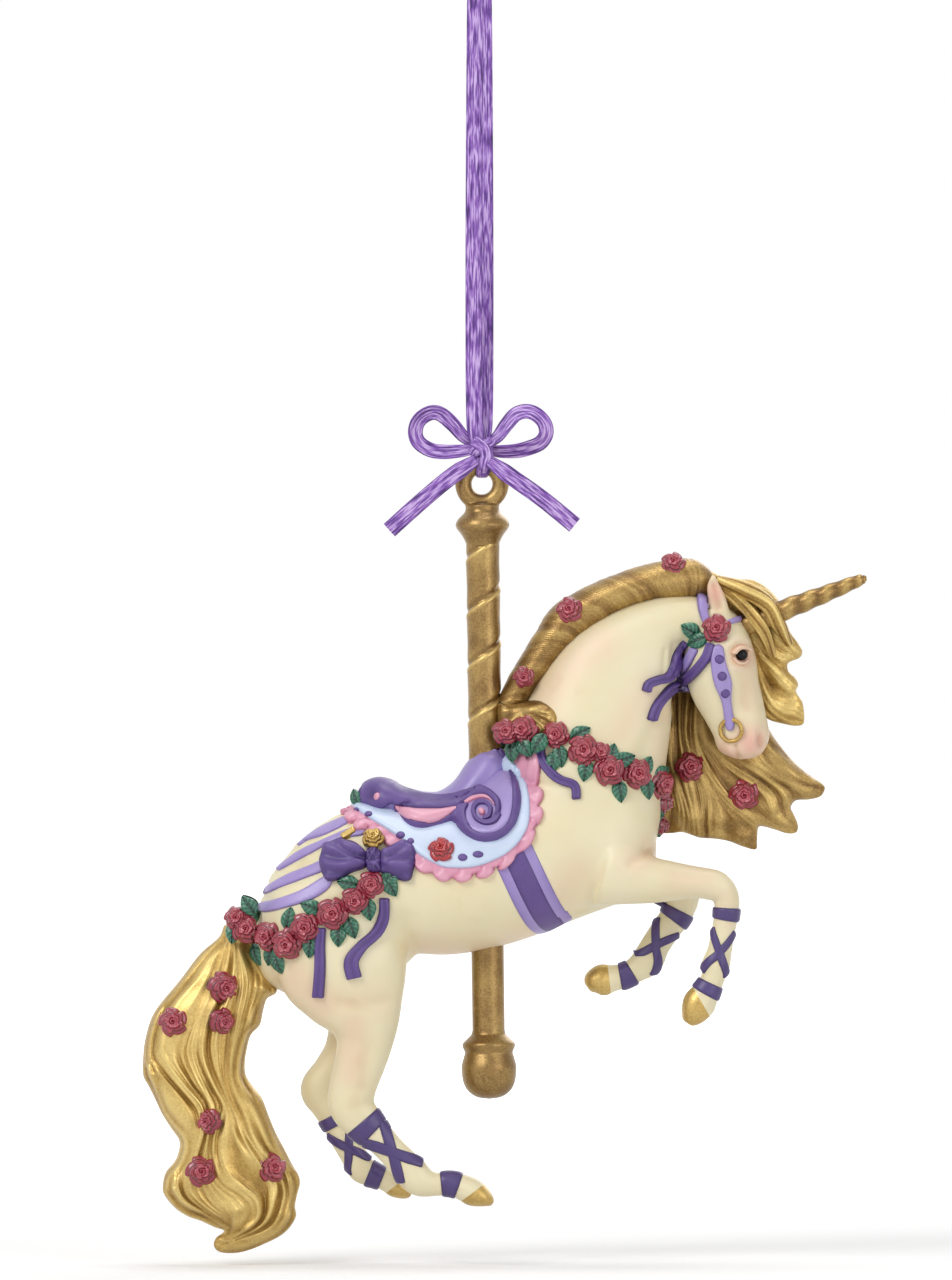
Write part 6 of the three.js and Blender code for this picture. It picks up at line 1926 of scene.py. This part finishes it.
def leaf_shape(length):
    """A pointed leaf along +Y with a sunk midrib and side veins."""
    rows, columns = LEAF_GRID
    share = np.linspace(0, 1, rows)[:, None]
    side = np.linspace(-1, 1, columns)[None]
    half = LEAF_HALF * length * np.sin(math.pi * share**0.8) ** 0.8 + 0.02
    vein = np.cos(2 * math.pi * (VEINS[0] * share - VEINS[1] * np.abs(side)))
    midrib = bell(side, MIDRIB_WIDTH)
    rise = LEAF_RISE * np.sin(math.pi * share) * (1 - 0.55 * side**2)
    rise = length * (rise - MIDRIB_DEPTH * midrib + VEIN_HEIGHT * vein * (1 - side**2))
    rise[:, [0, -1]] = -LEAF_SINK * length
    points = np.stack([half * side, length * (share - 0.5) * np.ones_like(side), rise], axis=-1)
    # Painted shade in the sunk midrib and between the raised veins, a painted highlight on the veins; lighter
    # towards the edges.
    relief = np.clip(0.42 + 0.22 * vein - 0.5 * midrib + 0.3 * np.abs(side) ** 3, 0, 1)
    return points.reshape(-1, 3), grid_faces(rows, columns, False), relief.reshape(-1)


def add_leaf(heap, length, place, normal, spin, lift=0.3):
    """Lays one leaf on a place, its tip turned by spin from upright."""
    points, faces, relief = leaf_shape(length)
    direction = np.asarray(normal) / np.linalg.norm(normal)
    heap.add(standing(points, place + direction * lift, direction, spin), faces, relief)


BREAST_ROSES = [
    (505, 734, 2.1), (530, 732, 2.35), (556, 735, 2.25), (583, 750, 2.6), (600, 752, 1.7),
    (608, 770, 2.55), (635, 773, 2.5), (659, 784, 2.4),
]
BREAST_LEAVES = [
    (510, 748, 150), (519, 753, 185), (530, 749, 215), (542, 745, 150), (560, 756, 190), (553, 762, 165),
    (580, 733, -60), (611, 754, -15), (624, 759, -70), (585, 770, 170), (619, 791, 185), (646, 788, 190),
    (645, 766, -30), (660, 773, -60), (664, 806, 185), (661, 826, 180),
]
CHEST_ROSES = [(-50.8, 2.0), (-54.6, 1.5)]     # height, radius
RUMP_ROSES = [
    (371.6, 883, 2.2), (355, 899, 2.25), (333, 912, 2.6), (306, 926, 2.4), (289, 942, 2.6),
    (270, 935, 2.4), (246, 929, 2.3), (236, 918, 1.8), (255, 944, 1.5),
]
RUMP_LEAVES = [
    (249, 905, 35), (258, 915, -110), (234, 932, 170), (258, 954, 200), (272, 954, 160), (280, 962, 200),
    (290, 917, -10), (312, 906, 70), (311, 945, 175), (339, 934, 180), (352, 926, 200), (349, 882, 80),
    (391, 885, 210), (392, 875, -60), (369, 908, 190),
]
STREAMERS = {
    "breast": [(on_photo((541, 742), (541, 755), (548, 769), (560, 779), (574, 785), (576, 799)), 1.5)],
    "rump": [
        (on_photo((322, 926), (321, 945), (321, 968), (319, 996)), [1.6, 1.7, 1.8, 1.9]),
        (
            on_photo((385, 896), (384, 915), (376, 932), (362, 945), (352, 960), (355, 977)),
            [1.7, 1.8, 1.8, 1.9, 2.4, 2.5],
        ),
    ],
}
HAIR_ROSES = {
    "crest": [(569.5, 610, 2.15), (524, 677, 1.75), (673, 564, 2.0)],
    "fall": [(690.6, 767.7, 2.45), (745, 795, 2.5)],
    "tail": [
        (223.5, 986, 2.55), (174, 1021, 2.35), (222.6, 1020, 2.15), (210, 1120, 2.1), (201.6, 1170, 2.5),
        (272, 1167, 2.4),
    ],
}
BLANKET_ROSE = (441.5, 848.7, 2.1)
LEAF_LENGTH = 3.7
ROSE_LIFT = 0.45
CLEAR_OF_SKIN = 0.6
CLEAR_DEPTH = 5.0
CLEAR_GAP = 1.5
CLEAR_TILT = 0.3
ROSE_FACING = 0.8                # how far flowers and leaves turn to the side
LEAF_FACING = 0.6
BREAST_SEED = 100
CHEST_SEED = 120
RUMP_SEED = 140
ROSETTE_SEED = 160
HAIR_SEED = 180
HAIR_SEED_STEP = 7
BLANKET_SEED = 230
BRIDLE_SEED = 260
ROSETTE_RADIUS = 1.8
ROSETTE_LIFT = 1.2
COVER_EDGE = 548                  # the garland lies over the blanket and the curl up to here
COVER_START = 500
COVER_LIFT = 2.0
LEAF_LIFT = 0.3
CANTLE_LEAF = (355.5, 797, 20)
CANTLE_DEPTH = 3.0
CANTLE_LENGTH = 2.8


def strung(side, px, py):
    """Place and direction for a flower of a garland. Above the back it hangs clear, as in the photograph."""
    (spot,) = on_photo((px, py))
    (place,), (out,) = sight[side].lay([spot])
    if math.hypot(place[0] - spot[0], place[2] - spot[1]) > CLEAR_OF_SKIN:
        place = np.array([spot[0], side * max(abs(place[1]) + CLEAR_GAP, CLEAR_DEPTH), spot[1]])
        out = np.array([0.0, side, CLEAR_TILT])
    return place, out


def cover(px):
    """How far the garland is lifted by what lies under it."""
    return COVER_LIFT if COVER_START < px < COVER_EDGE else 0.0


def garland(side, roses, leaves, streamers, seed):
    """Roses, leaves and hanging ribbons strung over one side."""
    blooms, greens, ties = Heap(), Heap(), Heap()
    for i, (px, py, radius) in enumerate(roses):
        place, out = strung(side, px, py)
        facing = out + np.array([0, side * ROSE_FACING, 0])
        add_rose(blooms, radius, place, facing, seed + i, ROSE_LIFT + cover(px))
    for px, py, degrees in leaves:
        place, out = strung(side, px, py)
        facing = out + np.array([0, side * LEAF_FACING, 0])
        add_leaf(greens, LEAF_LENGTH, place, facing, spun(side, degrees), LEAF_LIFT + cover(px))
    for path, width in streamers:
        ties.add(*band(path, width, sight[side], height=0.75, lift=0.1, rows=70, columns=13, groove=0.35))
    return blooms, greens, ties


def add_garlands():
    """The breast garland goes round the chest. The rump has one on each side."""
    blooms, greens = Heap(), Heap()
    for name, side in SIDES:
        flowers, leaves, ties = garland(side, BREAST_ROSES, BREAST_LEAVES, STREAMERS["breast"],
                                        BREAST_SEED + side)
        blooms.add(*flowers.arrays())
        greens.add(*leaves.arrays())
        piece(f"breast_streamer_{name}", ties, PURPLE)
    for i, (z, radius) in enumerate(CHEST_ROSES):
        place, out = body.towards((OUTSIDE, 0.0, z), (-1, 0, 0))
        add_rose(blooms, radius, place, out, CHEST_SEED + i, ROSE_LIFT)
    piece("breast_roses", blooms, CRIMSON, ["breast_garland"])
    piece("breast_leaves", greens, GREEN)
    for name, side in SIDES:
        flowers, leaves, ties = garland(side, RUMP_ROSES, RUMP_LEAVES, STREAMERS["rump"], RUMP_SEED + side)
        piece(f"rump_roses_{name}", flowers, CRIMSON, [f"rump_garland_{name}"])
        piece(f"rump_leaves_{name}", leaves, GREEN)
        piece(f"rump_streamers_{name}", ties, PURPLE)
        rosette = Heap()
        (place,), (out,) = sight[side].lay([ROSETTE])
        add_rose(rosette, ROSETTE_RADIUS, place, out, ROSETTE_SEED + side, ROSETTE_LIFT)
        rosette.add(*band(RUMP_SLIVER, 0.9, sight[side], height=0.5, lift=0.35, rows=24))
        piece(f"rump_rosette_{name}", rosette, BRIGHT_GOLD)
        sprig = Heap()
        (x, z), = on_photo(CANTLE_LEAF[:2])
        place = np.array([x, side * CANTLE_DEPTH, z])
        add_leaf(sprig, CANTLE_LENGTH, place, (-0.4, side, 0.2), spun(side, CANTLE_LEAF[2]), lift=0.0)
        piece(f"cantle_leaf_{name}", sprig, GREEN)


def add_single_roses():
    """Roses set on the hair and on the blanket."""
    for where, spots in HAIR_ROSES.items():
        view = SideView(Carrier(*hair[where].arrays()[:2]), NEAR)
        for i, (px, py, radius) in enumerate(spots):
            (place,), (out,) = view.lay(on_photo((px, py)))
            bloom = Heap()
            facing = 0.6 * out + np.array([0, -0.7, 0])
            add_rose(bloom, radius, place, facing, HAIR_SEED + HAIR_SEED_STEP * i, lift=0.1)
            piece(f"{where}_bloom_{i + 1}", bloom, CRIMSON, [f"rose_{where}_{i + 1}"])
    for name, side in SIDES:
        (place,), (out,) = SideView(cloth_face, side).lay(on_photo(BLANKET_ROSE[:2]))
        bloom = Heap()
        add_rose(bloom, BLANKET_ROSE[2], place, out, BLANKET_SEED + side, lift=0.1)
        piece(f"blanket_bloom_{name}", bloom, SCARLET, [f"blanket_rose_{name}"])


add_garlands()
add_single_roses()

# Bridle
CHEEK = on_photo(
    (712, 647), (722, 646), (725, 662), (731, 681), (731, 700), (734, 727), (726, 728), (721, 702),
    (713, 682), (710, 661))
CHEEK_DOTS = on_photo((718.6, 659.6), (721, 675.4), (724.5, 692.4))
BROWBAND = on_photo((725, 624), (732, 621), (740, 619))
CROWN = on_photo((701, 595), (701.5, 605), (704, 616), (708, 626))
BRIDLE_ROSE = (716, 629, 2.35)
BRIDLE_LEAVES = [(690, 630, 60), (697, 641, 110)]
KNOT_RIBBONS = [
    on_photo((686, 642), (677, 655), (673, 668), (667, 677), (657, 680), (648, 684), (645, 692)),
    on_photo(
        (711, 643), (706, 658), (695, 672), (684, 682), (672, 687), (664, 695), (655, 707), (650, 721)),
]
THROATLATCH = on_photo((695, 648), (688, 662), (681, 676), (683, 694))
BIT_PLACE = on_photo((731, 730))[0]
BIT_RADIUS = 1.75
BIT_WIRE = 0.33
BIT_GRID = (49, 16)
BIT_LIFT = 0.35
CROWN_WIDTHS = [1.5, 1.5, 1.4, 1.2]


def add_bridle():
    """Cheek strap, bit, browband, tied ribbons, rose and leaves on each side."""
    for name, side in SIDES:
        view = sight[side]
        straps = Heap()
        straps.add(*smooth_patch(CHEEK, 70, view, thickness=0.6, rim=0.4, lift=0.05, pitch=0.35))
        straps.add(*band(BROWBAND, 0.9, view, height=0.45, lift=0.05, rows=24))
        straps.add(*band(CROWN, CROWN_WIDTHS, view, height=0.6, lift=0.2, rows=30))
        straps.add(*band(THROATLATCH, 1.3, view, height=0.55, lift=0.05, rows=40))
        ties = Heap()
        for path in KNOT_RIBBONS:
            ties.add(*band(path, 1.45, view, height=0.85, lift=0.1, rows=70, columns=13, groove=0.25))
        for spot in CHEEK_DOTS:
            ties.add(*disc(spot, 0.76, view, height=0.45, lift=0.5))
        piece(f"bridle_straps_{name}", straps, LILAC, [f"bridle_{name}"])
        piece(f"bridle_ties_{name}", ties, PURPLE)
        (place,), (out,) = view.lay([BIT_PLACE])
        ring = Heap().tube(standing(wire_ring(BIT_RADIUS, BIT_WIRE, *BIT_GRID), place + out * BIT_LIFT, out))
        piece(f"bit_ring_{name}", ring, BRIGHT_GOLD)
        bloom = Heap()
        (place,), (out,) = view.lay(on_photo(BRIDLE_ROSE[:2]))
        facing = out + np.array([0, side * 0.6, 0])
        add_rose(bloom, BRIDLE_ROSE[2], place, facing, BRIDLE_SEED + side, lift=0.4)
        piece(f"bridle_bloom_{name}", bloom, CRIMSON, [f"bridle_rose_{name}"])
        greens = Heap()
        for px, py, degrees in BRIDLE_LEAVES:
            (place,), (out,) = view.lay(on_photo((px, py)))
            add_leaf(greens, LEAF_LENGTH, place, out, spun(side, degrees), lift=0.35)
        piece(f"bridle_leaves_{name}", greens, GREEN)


add_bridle()

# Leg lacing: bands at two places along each leg, and two runs that cross between them
LACES = {
    "fore_near": {"bands": ((6.05, 2.1), (10.75, 2.1)), "cross": (6.95, 9.6), "width": 1.5},
    "fore_far": {"bands": ((4.05, 2.1), (8.75, 2.3)), "cross": (4.75, 7.3), "width": 1.5},
    "hind_near": {"bands": ((8.3, 2.7), (14.0, 3.0)), "cross": (8.6, 11.3), "width": 2.0},
    "hind_far": {"bands": ((6.9, 2.0), (11.0, 2.5)), "cross": (7.4, 9.7), "width": 1.6},
}
LACE_HEIGHT = 0.3
LACE_ROWS = 70
BAND_LIFT = 0.02
CROSS_LIFT = 0.03                 # half of how far one run lies over the other
CROSS_POINTS = 9
LEG_POINTS = 400
CROSS_TURN = 2.5                  # angle that each crossing run goes round the leg


class LegMap:
    """Map of a leg: the distance along it in millimetres, and the distance round it."""

    RADIUS = 2.2
    OUTSIDE = 5.5

    def __init__(self, stations):
        line = smooth_line(stations, LEG_POINTS)[:, [0, 4, 1]]
        self.line = line
        self.along = unit(np.gradient(line, axis=0))
        self.length = lengths(line)
        self.spans = len(stations) - 1

    def distance(self, station):
        """Distance along the leg at a station."""
        return np.interp(station / self.spans, np.linspace(0, 1, LEG_POINTS), self.length)

    def lay(self, spots):
        """Points and outward directions for map places."""
        points, normals = [], []
        for far_along, around in spots:
            at = np.array([np.interp(far_along, self.length, self.line[:, i]) for i in range(3)])
            along = np.array([np.interp(far_along, self.length, self.along[:, i]) for i in range(3)])
            up = unit(np.array([-along[2], 0.0, along[0]]))
            across = np.cross(up, along)
            way = up * math.cos(around / self.RADIUS) + across * math.sin(around / self.RADIUS)
            place, normal = body.towards(at + way * self.OUTSIDE, -way)
            points.append(place)
            normals.append(normal)
        return np.array(points), np.array(normals)


def add_lacing():
    """Dark ribbon laced round each lower leg: two bands, and runs that cross on both faces."""
    for name, lace in LACES.items():
        leg = LegMap(LEGS[name])
        half_way = math.pi * LegMap.RADIUS
        heap = Heap()
        for station, width in lace["bands"]:
            level = leg.distance(station)
            ring = [(level, -half_way), (level, 0), (level, half_way)]
            heap.add(*band(ring, width, leg, LACE_HEIGHT, BAND_LIFT, LACE_ROWS))
        start, end = (leg.distance(station) for station in lace["cross"])
        for face in (-0.5, 0.5):
            for way in (-1, 1):
                steps = np.linspace(0, 1, CROSS_POINTS)
                turn = LegMap.RADIUS * (math.pi * face + way * (steps - 0.5) * CROSS_TURN)
                path = np.stack([start + (end - start) * steps, turn], axis=1)
                lift = CROSS_LIFT + CROSS_LIFT * way
                heap.add(*band(path, lace["width"], leg, LACE_HEIGHT, lift, LACE_ROWS))
        piece(f"lace_ribbon_{name}", heap, LACE_PURPLE, [f"lacing_{name}"])


add_lacing()

# Stage and light
FLOOR_DROP = 125.0               # clear of the tail at the lowest pose
FLOOR_RADIUS = 6.0
FLOOR_RINGS = (0.0, 0.1, 0.2, 0.35, 0.5, 0.7, 1.0, 2.0, FLOOR_RADIUS)
FLOOR_GLOW = (0.2, 0.21, 0.25, 0.4, 0.6, 0.85, 1.0, 1.0, 1.0)     # white seen on top of the lit floor
FLOOR_SIDES = 64
FLOOR_GREY = (0.86, 0.86, 0.86, 1.0)
FLOOR_ROUGHNESS = 0.9
WHITE = (1.0, 1.0, 1.0, 1.0)


def seen_white(tree):
    """1 for the rays that show the background: straight to the camera, or by way of metal."""
    rays = tree.nodes.new("ShaderNodeLightPath")
    seen = math_node(tree, "MAXIMUM", rays.outputs["Is Camera Ray"], rays.outputs["Is Glossy Ray"])
    return math_node(tree, "MAXIMUM", seen, rays.outputs["Is Transmission Ray"])


def add_stage():
    """A plain pale floor that goes over into the white surround."""
    level = EYE[2] * MM - FLOOR_DROP * MM
    turn = full_turn(FLOOR_SIDES)
    points = [(r * math.cos(a), r * math.sin(a), level) for r in FLOOR_RINGS for a in turn]
    mesh = bpy.data.meshes.new("floor")
    mesh.from_pydata(points, [], grid_faces(len(FLOOR_RINGS), FLOOR_SIDES, True))
    glow = np.repeat(np.array(FLOOR_GLOW, np.float32), FLOOR_SIDES)
    mesh.attributes.new("glow", "FLOAT", "POINT").data.foreach_set("value", glow)
    made, shader = new_material("pale_floor")
    tree = made.node_tree
    set_up(shader, Base_Color=FLOOR_GREY, Roughness=FLOOR_ROUGHNESS, Specular_IOR_Level=0.0,
           Emission_Color=WHITE)
    white = math_node(tree, "MULTIPLY", seen_white(tree), attribute(tree, "glow"))
    tree.links.new(white, shader.inputs["Emission Strength"])
    mesh.materials.append(made)
    stage = bpy.data.objects.new("floor", mesh)
    bpy.context.scene.collection.objects.link(stage)


LAMPS = [((-0.8, -1.0, 0.8), 0.7, 10.9), ((0.9, -1.1, 0.2), 0.8, 4.2), ((0.1, 0.1, 1.2), 0.7, 6.0),
         ((0.5, 1.2, 0.5), 0.8, 4.0)]
LIGHT_TARGET = (0.0, 0.0, -0.14)
SURROUND = 0.3


def add_light():
    """Soft lamps from both sides and above, and an even pale surround."""
    for i, (place, size, power) in enumerate(LAMPS):
        data = bpy.data.lights.new(f"lamp_{i}", "AREA")
        data.size = size
        data.energy = power
        lamp = bpy.data.objects.new(f"lamp_{i}", data)
        lamp.location = place
        lamp.rotation_euler = (Vector(LIGHT_TARGET) - Vector(place)).to_track_quat("-Z", "Y").to_euler()
        bpy.context.scene.collection.objects.link(lamp)
    world = bpy.data.worlds.new("surround")
    world.use_nodes = True
    tree = world.node_tree
    background = tree.nodes["Background"]
    background.inputs["Color"].default_value = WHITE
    tree.links.new(math_node(tree, "MAXIMUM", seen_white(tree), SURROUND), background.inputs["Strength"])
    bpy.context.scene.world = world
    bpy.context.scene.view_settings.view_transform = "Standard"


add_stage()
add_light()
